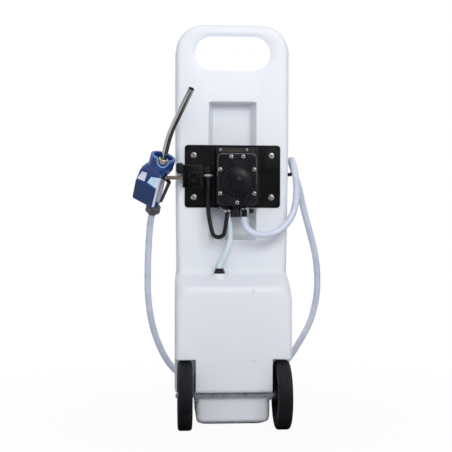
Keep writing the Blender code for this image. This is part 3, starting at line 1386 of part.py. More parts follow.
def build_nozzle():
    """The nozzle: body, collar, spout, trigger with its pin, and swivel."""
    frame = bpy.data.objects.new("nozzle_frame", None)
    bpy.context.scene.collection.objects.link(frame)
    frame.matrix_world = Matrix.Translation(NOZZLE_PLACE) @ nozzle_axes().to_4x4()
    edge = NOZZLE_CORNER / 3
    round_corner = (HEAD_RIGHT - HEAD_LEFT) / 2
    sections = [
        (BODY_BOTTOM, NOZZLE_LEFT + edge, NOZZLE_RIGHT - edge, NOZZLE_HALF - edge, NOZZLE_CORNER),
        (BODY_BOTTOM + edge, NOZZLE_LEFT, NOZZLE_RIGHT, NOZZLE_HALF, NOZZLE_CORNER),
        (BLOCK_TOP, NOZZLE_LEFT - edge / 2, NOZZLE_RIGHT + edge, NOZZLE_HALF, NOZZLE_CORNER),
        (SLOPE_TOP, NOZZLE_LEFT + edge, NOZZLE_RIGHT + edge * 2, NECK_HALF, NOZZLE_CORNER * 1.5),
        (NECK_HEIGHT, NOZZLE_LEFT + NOZZLE_CORNER, NECK_RIGHT, NECK_HALF, NOZZLE_CORNER * 2),
        ((NECK_HEIGHT + HEAD_LOW) / 2, (NOZZLE_LEFT + HEAD_LEFT) / 2 + edge,
         (NECK_RIGHT + HEAD_RIGHT) / 2 - edge, (NECK_HALF + HEAD_HALF) / 2, NOZZLE_CORNER * 3),
        (HEAD_LOW, HEAD_LEFT - edge, HEAD_RIGHT - edge, HEAD_HALF - edge, round_corner - edge),
        (BODY_TOP - edge, HEAD_LEFT, HEAD_RIGHT, HEAD_HALF, round_corner),
        (BODY_TOP, HEAD_LEFT + edge / 2, HEAD_RIGHT - edge / 2, HEAD_HALF - edge / 2, round_corner),
    ]
    form = loft([nozzle_section(*row) for row in sections])
    body = add_object("nozzle_body", form, NOZZLE_BLUE, parent=frame)
    wall = CUP_WALL
    low = wall + edge
    cup_rows = [
        (CUP_FLOOR, HEAD_LEFT + low, HEAD_RIGHT - low, HEAD_HALF - low, round_corner - low),
        (BODY_TOP + OVERRUN, HEAD_LEFT + wall, HEAD_RIGHT - wall, HEAD_HALF - wall, round_corner - wall),
    ]
    cup = add_object("nozzle_cup", loft([nozzle_section(*row) for row in cup_rows]), None, parent=frame)
    combine(body, cup)
    notch_outline = [(NOZZLE_AXIS_X - NOTCH_HALF, BODY_TOP + OVERRUN)]
    notch_outline += arc((NOZZLE_AXIS_X, NOTCH_BOTTOM + NOTCH_HALF), (NOTCH_HALF, NOTCH_HALF), 180, 360, 8)
    notch_outline.append((NOZZLE_AXIS_X + NOTCH_HALF, BODY_TOP + OVERRUN))
    notch = add_object("nozzle_notch", prism(notch_outline, -HEAD_HALF - OVERRUN, 0), None, parent=frame)
    combine(body, notch)
    room = TRIGGER_WIDTH / 2 + CHANNEL_PLAY
    channel_outline = [
        (CHANNEL_FLOOR_X, CHANNEL_BOTTOM),
        (TRIGGER_KNEE_X + OVERRUN * 3, CHANNEL_BOTTOM),
        (TRIGGER_KNEE_X + OVERRUN * 3, CHANNEL_TOP),
        (TRIGGER_PIN_X - TRIGGER_EYE_RADIUS - CHANNEL_PLAY, CHANNEL_TOP),
        (TRIGGER_PIN_X - TRIGGER_EYE_RADIUS - CHANNEL_PLAY, TRIGGER_PIN_HEIGHT - CHANNEL_SLOT_DEPTH),
        (CHANNEL_FLOOR_X, TRIGGER_PIN_HEIGHT - CHANNEL_SLOT_DEPTH * 2),
    ]
    channel = add_object("trigger_channel", prism(channel_outline, -room, room), None, parent=frame)
    combine(body, channel)
    pin_half = NECK_HALF - GAP * 2
    pin_hole = cylinders(
        "trigger_pin_hole", [(TRIGGER_PIN_X, TRIGGER_PIN_HEIGHT)], TRIGGER_PIN_RADIUS + GAP,
        -HEAD_HALF, HEAD_HALF, "Y", 12,
    )
    pin_hole.parent = frame
    combine(body, pin_hole)
    add_object(
        "trigger_pin",
        prism(circle(TRIGGER_PIN_RADIUS, 12, (TRIGGER_PIN_X, TRIGGER_PIN_HEIGHT)), -pin_half, pin_half),
        STAINLESS, parent=frame,
    )
    build_trigger(frame)
    build_spout(frame)
    swivel = turned(
        [
            (0, 0), (SWIVEL_NECK_RADIUS, 0), (SWIVEL_NECK_RADIUS, SWIVEL_NECK_LENGTH),
            (SWIVEL_RADIUS - edge, SWIVEL_NECK_LENGTH), (SWIVEL_RADIUS, SWIVEL_NECK_LENGTH + edge),
            (SWIVEL_RADIUS, SWIVEL_LENGTH - edge), (SWIVEL_RADIUS - edge, SWIVEL_LENGTH), (0, SWIVEL_LENGTH),
        ],
        20,
    )
    gap_below = BODY_BOTTOM - SWIVEL_LENGTH - GAP
    add_object("nozzle_swivel", swivel, HUB_GREY, (NOZZLE_AXIS_X, 0, gap_below), parent=frame)


def build_trigger(frame):
    """The bent lever, with its eye round the pin. Its origin is on the pin."""
    thickness = TRIGGER_THICKNESS
    knee = (TRIGGER_KNEE_X - TRIGGER_PIN_X, TRIGGER_KNEE_HEIGHT - TRIGGER_PIN_HEIGHT)
    end = (TRIGGER_END_X - TRIGGER_PIN_X, TRIGGER_END_HEIGHT - TRIGGER_PIN_HEIGHT)
    down = (Vector(end) - Vector(knee)).normalized()
    side = Vector((-down.y, down.x)) * thickness / 2
    eye = TRIGGER_EYE_RADIUS
    outer_knee = Vector(knee) + side
    outer_end = Vector(end) + side
    inner_knee = Vector(knee) - side - Vector((thickness / 2, 0))
    inner_end = Vector(end) - side
    outline = [tuple(inner_end), tuple(outer_end), tuple(outer_knee)]
    outline.append((outer_knee.x - thickness, outer_knee.y + thickness))
    outline += arc((0, 0), (eye, eye), 20, 270, 10)
    outline.append(tuple(inner_knee))
    half = TRIGGER_WIDTH / 2
    lever = add_object(
        "nozzle_trigger", prism(outline, -half, half), PLASTIC_BLACK,
        (TRIGGER_PIN_X, 0, TRIGGER_PIN_HEIGHT), parent=frame,
    )
    bore = running_bore(TRIGGER_PIN_RADIUS, 12)
    hole = cylinders("trigger_eye_hole", [(0, 0)], bore, -half * 2, half * 2, "Y", 12)
    hole.location = (TRIGGER_PIN_X, 0, TRIGGER_PIN_HEIGHT)
    hole.parent = frame
    combine(lever, hole)


def build_spout(frame):
    """The bent steel spout with its open tip, and the collar at its root."""
    start = (NOZZLE_AXIS_X, 0, SPOUT_START)
    corner = (SPOUT_BEND_X, 0, SPOUT_BEND_HEIGHT)
    tip = (SPOUT_TIP_X, 0, SPOUT_TIP_HEIGHT)
    path = bend(start, corner, tip, SPOUT_BEND_REACH, 6)
    spout = add_object("nozzle_spout", sweep(path, SPOUT_RADIUS, 16), STAINLESS, parent=frame)
    along = (Vector(tip) - Vector(corner)).normalized()
    inner_path = [Vector(tip) - along * SPOUT_BORE_LENGTH, Vector(tip) + along * OVERRUN]
    bore = add_object("spout_bore", sweep(inner_path, SPOUT_RADIUS - SPOUT_WALL, 16), None, parent=frame)
    combine(spout, bore)
    rise = (Vector(corner) - Vector(start)).normalized()
    slant = math.atan2(rise.x, rise.z)
    edge = COLLAR_HEIGHT / 6
    hole = SPOUT_RADIUS + GAP * 2
    collar = turned(
        [
            (hole, 0), (COLLAR_RADIUS, 0), (COLLAR_RADIUS, COLLAR_HEIGHT - edge),
            (COLLAR_RADIUS - edge, COLLAR_HEIGHT), (hole, COLLAR_HEIGHT),
        ],
        20, closed=True,
    )
    lift = COLLAR_RADIUS * math.sin(slant) + GAP
    place = (NOZZLE_AXIS_X + rise.x * lift, 0, CUP_FLOOR + lift)
    add_object("spout_collar", collar, STAINLESS, place, (0, slant, 0), frame)


# Hoses: each route starts where its hose leaves a port

DELIVERY_ROUTE = [
    (OUTLET_X, OUTLET_Y, PORT_TOP - OUTLET_LENGTH - GAP),
    (OUTLET_X, OUTLET_Y, PORT_TOP - OUTLET_LENGTH - HOSE_LEAD / 3),
    (0.0335, -0.1345, 0.6010),
    (0.0425, -0.1365, 0.5870),
    (0.0560, -0.1385, 0.5775),
    (0.0740, -0.1400, 0.5725),
    (0.1005, -0.1395, 0.5725),
    (0.1250, -0.1350, 0.5800),
    (TANK_HALF - 0.0200, -0.1290, 0.5970),
    (TANK_HALF + 0.0020, -0.1200, 0.6255),
    (TANK_HALF + 0.0150, -0.1090, 0.6600),
    (TANK_HALF + 0.0205, -0.0960, 0.6960),
    (TANK_HALF + 0.0220, -0.0790, 0.7330),
    (TANK_HALF + 0.0205, -0.0560, 0.7690),
    (TANK_HALF + 0.0185, -0.0320, 0.7900),
    (TANK_HALF + 0.0175, -0.0080, 0.8000),
    (TANK_HALF + 0.0200, 0.0150, 0.7950),
    (TANK_HALF + 0.0280, 0.0300, 0.7760),
    (TANK_HALF + 0.0380, 0.0370, 0.7480),
    (TANK_HALF + 0.0500, 0.0410, 0.7110),
    (TANK_HALF + 0.0630, 0.0480, 0.6580),
    (TANK_HALF + 0.0790, 0.0570, 0.6030),
    (TANK_HALF + 0.0940, 0.0660, 0.5540),
    (TANK_HALF + 0.1070, 0.0750, 0.5050),
    (TANK_HALF + 0.1150, 0.0840, 0.4500),
    (TANK_HALF + 0.1170, 0.0930, 0.3900),
    (TANK_HALF + 0.1100, 0.1010, 0.3330),
    (TANK_HALF + 0.0940, 0.1080, 0.2780),
    (TANK_HALF + 0.0660, 0.1150, 0.2230),
    (TANK_HALF + 0.0260, 0.1220, 0.1600),
    (0.1380, 0.1270, 0.1060),
    (0.0650, 0.1290, 0.0720),
    (-0.0200, 0.1290, 0.0640),
    (-0.1000, 0.1280, 0.0840),
    (-TANK_HALF + 0.0040, 0.1220, 0.1290),
    (-TANK_HALF - 0.0360, 0.1100, 0.1850),
    (-TANK_HALF - 0.0680, 0.0930, 0.2700),
    (-TANK_HALF - 0.0830, 0.0760, 0.3600),
    (-TANK_HALF - 0.0850, 0.0560, 0.4500),
    (-TANK_HALF - 0.0820, 0.0320, 0.5350),
    (-TANK_HALF - 0.0775, 0.0080, 0.5950),
]
BYPASS_ROUTE = [
    (ELBOW_X, PLATE_FRONT_Y - ELBOW_REACH, ELBOW_BARB_BOTTOM - GAP),
    (ELBOW_X, PLATE_FRONT_Y - ELBOW_REACH, ELBOW_BARB_BOTTOM - HOSE_LEAD),
    (-0.0745, -0.1130, 0.6650),
    (-0.0735, -0.1180, 0.6320),
    (-0.0680, -0.1240, 0.5990),
    (-0.0640, -0.1265, 0.5835),
    (-0.0586, -0.1290, 0.5704),
    (-0.0455, -0.1330, 0.5650),
    (-0.0324, -0.1370, 0.5704),
    (-0.0270, -0.1390, 0.5835),
    (-0.0245, -0.1395, 0.5990),
    (BYPASS_X, BYPASS_Y, PORT_TOP - BYPASS_BLOCK_HEIGHT - BYPASS_SPIGOT - HOSE_LEAD),
    (BYPASS_X, BYPASS_Y, PORT_TOP - BYPASS_BLOCK_HEIGHT - BYPASS_SPIGOT - GAP),
]
SUCTION_ROUTE = [
    (SUCTION_X, SUCTION_Y, PORT_TOP - SUCTION_COLLAR - GAP),
    (SUCTION_X, SUCTION_Y, PORT_TOP - SUCTION_COLLAR - HOSE_LEAD),
    (-0.0100, -0.1220, 0.5850),
    (-0.0120, -0.1170, 0.5480),
    (-0.0240, -0.1090, 0.5110),
    (FITTING_X, FITTING_Y, FITTING_TOP_Z + HOSE_LEAD),
    (FITTING_X, FITTING_Y, FITTING_TOP_Z + GAP),
]


def build_hoses():
    """The delivery hose, the black bypass hose and the clear suction hose."""
    axes = nozzle_axes()
    start_height = BODY_BOTTOM - SWIVEL_LENGTH - GAP
    inlet = Vector(NOZZLE_PLACE) + axes @ Vector((NOZZLE_AXIS_X, 0, start_height - GAP))
    lead = Vector(NOZZLE_PLACE) + axes @ Vector((NOZZLE_AXIS_X, 0, start_height - HOSE_LEAD))
    hose("delivery_hose", DELIVERY_ROUTE + [tuple(lead), tuple(inlet)], DELIVERY_RADIUS, HOSE_CLEAR)
    hose("bypass_hose", BYPASS_ROUTE, BYPASS_HOSE_RADIUS, RUBBER_BLACK)
    hose("suction_hose", SUCTION_ROUTE, SUCTION_HOSE_RADIUS, HOSE_CLEAR)


build_tank()
build_filler()
build_wheels()
build_plate()
build_bracket()
build_motor()
build_head()
build_ports()
build_elbow()
build_holder()
build_suction()
build_hook()
build_nozzle()
build_hoses()
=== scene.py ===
"""Looks of the wheeled diesel exhaust fluid dispenser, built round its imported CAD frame. Metres, +Z up."""

import json
import math

import bmesh
import bpy
from mathutils import Euler, Matrix, Vector


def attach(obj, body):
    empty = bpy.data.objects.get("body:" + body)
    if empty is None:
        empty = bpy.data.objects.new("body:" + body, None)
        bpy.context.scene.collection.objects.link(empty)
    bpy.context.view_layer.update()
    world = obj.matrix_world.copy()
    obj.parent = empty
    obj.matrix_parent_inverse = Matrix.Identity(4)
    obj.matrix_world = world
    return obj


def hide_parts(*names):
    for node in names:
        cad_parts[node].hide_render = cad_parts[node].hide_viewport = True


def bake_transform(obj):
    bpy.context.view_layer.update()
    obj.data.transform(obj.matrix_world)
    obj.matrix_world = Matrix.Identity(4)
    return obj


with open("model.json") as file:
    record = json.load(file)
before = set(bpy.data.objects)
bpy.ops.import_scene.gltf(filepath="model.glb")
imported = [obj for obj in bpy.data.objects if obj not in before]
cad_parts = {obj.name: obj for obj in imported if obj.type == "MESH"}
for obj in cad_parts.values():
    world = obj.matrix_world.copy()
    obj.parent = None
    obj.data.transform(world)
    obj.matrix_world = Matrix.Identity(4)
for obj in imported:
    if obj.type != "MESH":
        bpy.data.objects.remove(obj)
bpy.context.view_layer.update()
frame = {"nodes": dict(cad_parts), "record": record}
NODES = frame["nodes"]

# Picture
PICTURE_WIDTH = 452
FOCAL_PIXELS = 900
SENSOR_WIDTH = 36.0
HORIZON_ABOVE_MIDDLE = 16
CAMERA_PLACE = (-0.2084, -2.7705, 0.645)
CAMERA_AZIMUTH = 4.02
CAMERA_ROLL = 0.2

# The CAD's driving sizes, in metres
GAP = 0.0003
TANK_HALF, WAIST_HALF, TOE_HALF = 0.17, 0.1655, 0.11
TANK_HEIGHT, TANK_WALL = 1.2, 0.005
REAR_Y, PANEL_Y, BULGE_Y, TOE_Y, FOOT_FRONT_Y = 0.1, -0.077, -0.172, -0.13, -0.07
BULGE_BOTTOM, DRAFT_RISE = 0.1115, 0.001
SKIRT_BOTTOM, SKIRT_SLOPE = 0.08, 0.008
WELL_TOP, WELL_HALF, WELL_BACK_Y, WELL_CORNER = 0.211, 0.112, -0.034, 0.006
SHOULDER_START, SHOULDER_FRONT, SHOULDER_REAR, WAIST_TOP = 0.38, 0.42, 0.456, 0.85
EDGE_RADIUS, TOP_CORNER_RADIUS = 0.018, 0.084
RECESS_HALF, RECESS_DEPTH, RECESS_BOTTOM, RECESS_TOP, RECESS_DRAFT = 0.0715, 0.05, 0.555, 0.969, 0.014
HAND_HOLE_WIDTH, HAND_HOLE_HEIGHT, HAND_HOLE_MIDDLE, HAND_HOLE_RIM = 0.219, 0.0948, 1.1157, 0.014
FILLER_Z, NECK_RADIUS, NECK_WALL, NECK_LENGTH = 1.0, 0.03, 0.0045, 0.018
PLATE_BACK_Y = PANEL_Y - GAP
PLATE_FRONT_Y = PLATE_BACK_Y - 0.003
WHEEL_RADIUS, TYRE_WIDTH, WHEEL_X = 0.1015, 0.0415, 0.14325
AXLE_Y, AXLE_Z, AXLE_RADIUS = -0.1423, 0.1015, 0.0063
PUMP_X, PUMP_Z = 0.007, 0.733
COVER_BACK_Y, COVER_FRONT_Y = -0.1522, -0.1677
NOZZLE_PLACE = (-0.2445, -0.0175, 0.6345)
NOZZLE_ANGLES = (26.0, 12.0, -33.0)
DELIVERY_RADIUS, BYPASS_HOSE_RADIUS, SUCTION_HOSE_RADIUS = 0.01, 0.0061, 0.008
SHAFT_BORE = 0.0165

# The scene's own: fine lines, and how far a cutting tool stands out of what it cuts
LINE_RADIUS, SEAM_RADIUS, OVERSHOOT = 0.0008, 0.0009, 0.004


def linked(name, data):
    """A new object in the scene."""
    made = bpy.data.objects.new(name, data)
    bpy.context.scene.collection.objects.link(made)
    return made


def set_camera():
    """The photograph's view: a long lens, a little left of the tank's front."""
    lens = bpy.data.cameras.new("photo_lens")
    lens.sensor_width = SENSOR_WIDTH
    lens.lens = SENSOR_WIDTH * FOCAL_PIXELS / PICTURE_WIDTH
    camera = linked("photo_camera", lens)
    down = math.degrees(math.atan(HORIZON_ABOVE_MIDDLE / FOCAL_PIXELS))
    look = Euler((math.radians(90 - down), 0, math.radians(-CAMERA_AZIMUTH))).to_matrix()
    roll = Matrix.Rotation(math.radians(CAMERA_ROLL), 3, "Z")
    camera.matrix_world = Matrix.Translation(CAMERA_PLACE) @ (look @ roll).to_4x4()
    bpy.context.scene.camera = camera


set_camera()


# Shapes

def mm(*rows):
    """Rows of numbers given in millimetres, as metres."""
    return [tuple(round(value / 1000, 7) for value in row) for row in rows]


def arc(middle, radii, first, last, steps):
    """Points along an arc, or with two radii an ellipse, from the first angle to the last in degrees."""
    across, up = radii if isinstance(radii, tuple) else (radii, radii)
    points = []
    for step in range(steps + 1):
        angle = math.radians(first + (last - first) * step / steps)
        points.append((middle[0] + across * math.cos(angle), middle[1] + up * math.sin(angle)))
    return points


def circle(radius, count, middle=(0, 0)):
    """Points round a circle, anticlockwise."""
    angles = [2 * math.pi * index / count for index in range(count)]
    return [(middle[0] + radius * math.cos(a), middle[1] + radius * math.sin(a)) for a in angles]


def rounded_rectangle(middle, width, height, radius, steps=8):
    """A rectangle's outline with round corners, anticlockwise."""
    across, up = width / 2 - radius, height / 2 - radius
    outline = []
    for x, z, start in ((across, -up, -90), (across, up, 0), (-across, up, 90), (-across, -up, 180)):
        outline += arc((middle[0] + x, middle[1] + z), radius, start, start + 90, steps)
    return outline


def rounded(points, sizes, steps):
    """A polyline with its inner corners rounded by the sizes given."""
    result = [points[0]]
    for index in range(1, len(points) - 1):
        size = sizes[index - 1]
        corner = Vector(points[index])
        if not size:
            result.append(tuple(corner))
            continue
        enter = corner + (Vector(points[index - 1]) - corner).normalized() * size
        leave = corner + (Vector(points[index + 1]) - corner).normalized() * size
        for step in range(steps + 1):
            share = step / steps
            result.append(tuple(enter.lerp(corner, share).lerp(corner.lerp(leave, share), share)))
    result.append(points[-1])
    return result


def loft(loops):
    """A capped body through loops of as many points each."""
    bm = bmesh.new()
    rings = [[bm.verts.new(point) for point in loop] for loop in loops]
    for low, high in zip(rings, rings[1:]):
        for index, start in enumerate(low):
            after = (index + 1) % len(low)
            bm.faces.new((start, low[after], high[after], high[index]))
    bm.faces.new(list(reversed(rings[0])))
    bm.faces.new(rings[-1])
    return bm


def prism(outline, low, high, axis="Y"):
    """An outline swept straight from low to high along an axis."""
    places = {
        "X": lambda u, v, w: (w, u, v),
        "Y": lambda u, v, w: (u, w, v),
        "Z": lambda u, v, w: (u, v, w),
    }
    place = places[axis]
    return loft([[place(u, v, level) for u, v in outline] for level in (low, high)])


def turned(profile, steps, closed=False):
    """A profile of (radius, height) points spun round Z."""
    bm = bmesh.new()
    points = [bm.verts.new((radius, 0, height)) for radius, height in profile]
    pairs = list(zip(points, points[1:]))
    if closed:
        pairs.append((points[-1], points[0]))
    edges = [bm.edges.new(pair) for pair in pairs if pair[0].co.x or pair[1].co.x]
    bmesh.ops.spin(
        bm, geom=points + edges, cent=(0, 0, 0), axis=(0, 0, 1),
        angle=2 * math.pi, steps=steps, use_merge=True,
    )
    bmesh.ops.remove_doubles(bm, verts=bm.verts, dist=GAP / 100)
    return bm


def sweep(path, radius, sides):
    """A round bar along a path of points, or with radii a tapering one."""
    points = [Vector(point) for point in path]
    radii = radius if isinstance(radius, (list, tuple)) else [radius] * len(points)
    across = None
    loops = []
    for index, point in enumerate(points):
        forward = (points[min(index + 1, len(points) - 1)] - points[max(index - 1, 0)]).normalized()
        if across is None:
            across = forward.orthogonal().normalized()
        across = (across - forward * across.dot(forward)).normalized()
        side = forward.cross(across)
        loops.append([point + across * u + side * v for u, v in circle(radii[index], sides)])
    return loft(loops)


def bend(start, corner, end, reach, steps=10):
    """A path from start to end by way of a rounded corner."""
    start, corner, end = Vector(start), Vector(corner), Vector(end)
    enter = corner + (start - corner).normalized() * reach
    leave = corner + (end - corner).normalized() * reach
    path = [start]
    for step in range(steps + 1):
        share = step / steps
        path.append(enter.lerp(corner, share).lerp(corner.lerp(leave, share), share))
    return path + [end]


def merged(*parts):
    """Several bodies in one mesh."""
    whole = bmesh.new()
    for part in parts:
        held = bpy.data.meshes.new("held")
        bmesh.ops.recalc_face_normals(part, faces=part.faces)
        part.to_mesh(held)
        part.free()
        whole.from_mesh(held)
        bpy.data.meshes.remove(held)
    return whole


def moved(bm, matrix):
    """The same mesh, set in another place."""
    bmesh.ops.transform(bm, matrix=matrix, verts=bm.verts)
    return bm


def at(place, turn=(0, 0, 0)):
    """A place with a turn in degrees about X, Y and Z."""
    angles = Euler([math.radians(angle) for angle in turn])
    return Matrix.Translation(place) @ angles.to_matrix().to_4x4()


FRONT, BACK, RIGHT, LEFT, DOWN = (90, 0, 0), (-90, 0, 0), (0, 90, 0), (0, -90, 0), (180, 0, 0)


def blank(name, bm, matrix=None):
    """An object that is not yet part of the model."""
    bmesh.ops.recalc_face_normals(bm, faces=bm.faces)
    mesh = bpy.data.meshes.new(name)
    bm.to_mesh(mesh)
    bm.free()
    made = linked(name, mesh)
    if matrix:
        made.matrix_world = matrix
    return made


def carve(target, *tools, operation="DIFFERENCE"):
    """Cuts each tool away from the target at once, or joins it."""
    for tool in tools:
        step = target.modifiers.new("carve", "BOOLEAN")
        step.operation = operation
        step.solver = "EXACT"
        step.object = tool
    bpy.context.view_layer.update()
    shaped = target.evaluated_get(bpy.context.evaluated_depsgraph_get())
    mesh = bpy.data.meshes.new_from_object(shaped)
    target.modifiers.clear()
    target.data = mesh
    for tool in tools:
        bpy.data.objects.remove(tool)
    return target


def fit(piece, finish, node=None, body="cart", slot=None, edge=0.0, segments=2, sharp=35.0):
    """Gives a piece its finish and soft edges, and sets it on its body, perhaps in place of a CAD node."""
    mesh = piece.data
    mesh.materials.clear()
    mesh.materials.append(finish)
    mesh.shade_smooth()
    mesh.set_sharp_from_angle(angle=math.radians(sharp))
    if edge:
        soften = piece.modifiers.new("edge", "BEVEL")
        soften.width = edge
        soften.segments = segments
        soften.limit_method = "ANGLE"
        soften.angle_limit = math.radians(30)
        soften.use_clamp_overlap = True
        even = piece.modifiers.new("even", "WEIGHTED_NORMAL")
        even.keep_sharp = True
    if body:
        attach(piece, body)
    if node:
        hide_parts(node)
    return piece


def add(name, bm, finish, place=None, **fitting):
    """A new piece of the model, made and fitted at once."""
    return fit(blank(name, bm, place), finish, **fitting)


# Shader nodes, and the groups that several finishes share

def feed(tree, socket, value):
    """Gives a socket a number, a colour or a vector, or links another socket to it."""
    if isinstance(value, bpy.types.NodeSocket):
        tree.links.new(value, socket)
    elif socket.type == "RGBA" and len(value) == 3:
        socket.default_value = (*value, 1.0)
    else:
        socket.default_value = value


def add_node(tree, kind, inputs=(), **settings):
    """A shader node with its settings and its inputs."""
    node = tree.nodes.new("ShaderNode" + kind)
    for name, value in settings.items():
        setattr(node, name, value)
    for label, value in dict(inputs).items():
        feed(tree, node.inputs[label], value)
    return node


def object_place(tree):
    """Coordinates on the object itself."""
    return add_node(tree, "TexCoord").outputs["Object"]


def add_noise(tree, vector, scale, detail, roughness=0.5):
    """A noise texture."""
    inputs = {"Vector": vector, "Scale": scale, "Detail": detail, "Roughness": roughness}
    return add_node(tree, "TexNoise", inputs).outputs["Fac"]


def add_range(tree, value, low, high, to_low, to_high):
    """A value stretched from one range to another."""
    inputs = {"Value": value, "From Min": low, "From Max": high, "To Min": to_low, "To Max": to_high}
    return add_node(tree, "MapRange", inputs).outputs["Result"]


def add_mix(tree, factor, first, second):
    """Two colours mixed."""
    return add_node(tree, "Mix", {"Factor": factor, 6: first, 7: second}, data_type="RGBA").outputs[2]


def add_math(tree, operation, first, second):
    """One step of arithmetic."""
    return add_node(tree, "Math", {0: first, 1: second}, operation=operation).outputs[0]


def new_group(name, inputs, outputs):
    """An empty shader group with named sockets: colours and numbers."""
    group = bpy.data.node_groups.new(name, "ShaderNodeTree")
    for label, value in inputs.items():
        kind = "NodeSocketColor" if isinstance(value, tuple) else "NodeSocketFloat"
        group.interface.new_socket(label, in_out="INPUT", socket_type=kind).default_value = value
    for label in outputs:
        kind = "NodeSocketColor" if label == "Color" else "NodeSocketFloat"
        group.interface.new_socket(label, in_out="OUTPUT", socket_type=kind)
    return group, group.nodes.new("NodeGroupInput").outputs, group.nodes.new("NodeGroupOutput").inputs


def make_mottle():
    """Moulded or coated surfaces: colour in soft patches, uneven gloss and a fine grain."""
    group, given, result = new_group("mottle", {
        "Light Color": (0.5, 0.5, 0.5, 1), "Dark Color": (0.4, 0.4, 0.4, 1), "Patch Scale": 8.0,
        "Grain Scale": 900.0, "Least Roughness": 0.3, "Most Roughness": 0.5,
    }, ["Color", "Roughness", "Height"])
    where = object_place(group)
    spread = add_range(group, add_noise(group, where, given["Patch Scale"], 3.0), 0.35, 0.65, 0.0, 1.0)
    grain = add_noise(group, where, given["Grain Scale"], 2.0)
    patches, grains = add_math(group, "MULTIPLY", spread, 0.6), add_math(group, "MULTIPLY", grain, 0.4)
    uneven = add_math(group, "ADD", patches, grains)
    feed(group, result["Color"], add_mix(group, spread, given["Dark Color"], given["Light Color"]))
    feed(group, result["Roughness"],
         add_range(group, uneven, 0.2, 0.8, given["Least Roughness"], given["Most Roughness"]))
    feed(group, result["Height"], grain)
    return group


def make_edge_wear():
    """Edges rubbed lighter where the surface turns sharply."""
    group, given, result = new_group("edge_wear", {
        "Color": (0, 0, 0, 1), "Worn Color": (0.3, 0.3, 0.3, 1), "Amount": 0.5,
    }, ["Color"])
    turn = add_node(group, "NewGeometry").outputs["Pointiness"]
    broken = add_range(group, add_noise(group, object_place(group), 160.0, 4.0), 0.4, 0.6, 0.35, 1.0)
    sharp = add_range(group, turn, 0.515, 0.56, 0.0, 1.0)
    mask = add_math(group, "MULTIPLY", add_math(group, "MULTIPLY", sharp, broken), given["Amount"])
    feed(group, result["Color"], add_mix(group, mask, given["Color"], given["Worn Color"]))
    return group


def make_brushing():
    """Metal drawn or polished one way: fine lines along Z, with a mottled tone."""
    group, given, result = new_group("brushing", {
        "Light Color": (0.7, 0.7, 0.7, 1), "Dark Color": (0.5, 0.5, 0.5, 1), "Line Scale": 300.0,
        "Least Roughness": 0.15, "Most Roughness": 0.3,
    }, ["Color", "Roughness", "Height"])
    where = object_place(group)
    stretch = add_node(group, "Mapping", {"Vector": where, "Scale": (1.0, 1.0, 0.04)}).outputs["Vector"]
    lines = add_noise(group, stretch, given["Line Scale"], 3.0)
    tone = add_range(group, add_noise(group, where, 30.0, 4.0), 0.3, 0.7, 0.0, 1.0)
    feed(group, result["Color"], add_mix(group, tone, given["Dark Color"], given["Light Color"]))
    feed(group, result["Roughness"],
         add_range(group, lines, 0.3, 0.7, given["Least Roughness"], given["Most Roughness"]))
    feed(group, result["Height"], lines)
    return group


def make_road_dust():
    """Pale dust that gathers in hollows, in patches."""
    group, given, result = new_group("road_dust", {
        "Color": (0, 0, 0, 1), "Dust Color": (0.3, 0.28, 0.26, 1), "Amount": 0.3,
    }, ["Color"])
    turn = add_node(group, "NewGeometry").outputs["Pointiness"]
    patch = add_range(group, add_noise(group, object_place(group), 45.0, 5.0, 0.6), 0.4, 0.75, 0.0, 1.0)
    hollow = add_range(group, turn, 0.5, 0.46, 0.25, 1.0)
    mask = add_math(group, "MULTIPLY", add_math(group, "MULTIPLY", patch, hollow), given["Amount"])
    feed(group, result["Color"], add_mix(group, mask, given["Color"], given["Dust Color"]))
    return group


MOTTLE, EDGE_WEAR, BRUSHING, ROAD_DUST = make_mottle(), make_edge_wear(), make_brushing(), make_road_dust()


def new_finish(name, slot, base, values, relief=0.0, relief_depth=0.0001, wear=None, dust=None, **inputs):
    """A finish: one base group, wear and dust over it, and a bump from the base's height. Its slot is not used.
    """
    made = bpy.data.materials.new(name)
    made.use_nodes = True
    tree = made.node_tree
    shader = tree.nodes["Principled BSDF"]
    ground = add_node(tree, "Group", values, node_tree=base)
    color = ground.outputs["Color"]
    for group, label, over in ((EDGE_WEAR, "Worn Color", wear), (ROAD_DUST, "Dust Color", dust)):
        if over:
            given = {"Color": color, label: over[0], "Amount": over[1]}
            color = add_node(tree, "Group", given, node_tree=group).outputs["Color"]
    feed(tree, shader.inputs["Base Color"], color)
    feed(tree, shader.inputs["Roughness"], ground.outputs["Roughness"])
    if relief:
        grain = {"Strength": relief, "Distance": relief_depth, "Height": ground.outputs["Height"]}
        feed(tree, shader.inputs["Normal"], add_node(tree, "Bump", grain).outputs["Normal"])
    for label, value in inputs.items():
        feed(tree, shader.inputs[label.replace("_", " ")], value)
    return made


def coat(name, slot, light, dark, patch, grain, least, most, **more):
    """A moulded or coated finish."""
    return new_finish(name, slot, MOTTLE, {
        "Light Color": light, "Dark Color": dark, "Patch Scale": patch, "Grain Scale": grain,
        "Least Roughness": least, "Most Roughness": most,
    }, **more)


def metal(name, slot, light, dark, line, least, most, **more):
    """A drawn or polished finish."""
    return new_finish(name, slot, BRUSHING, {
        "Light Color": light, "Dark Color": dark, "Line Scale": line,
        "Least Roughness": least, "Most Roughness": most,
    }, **more)


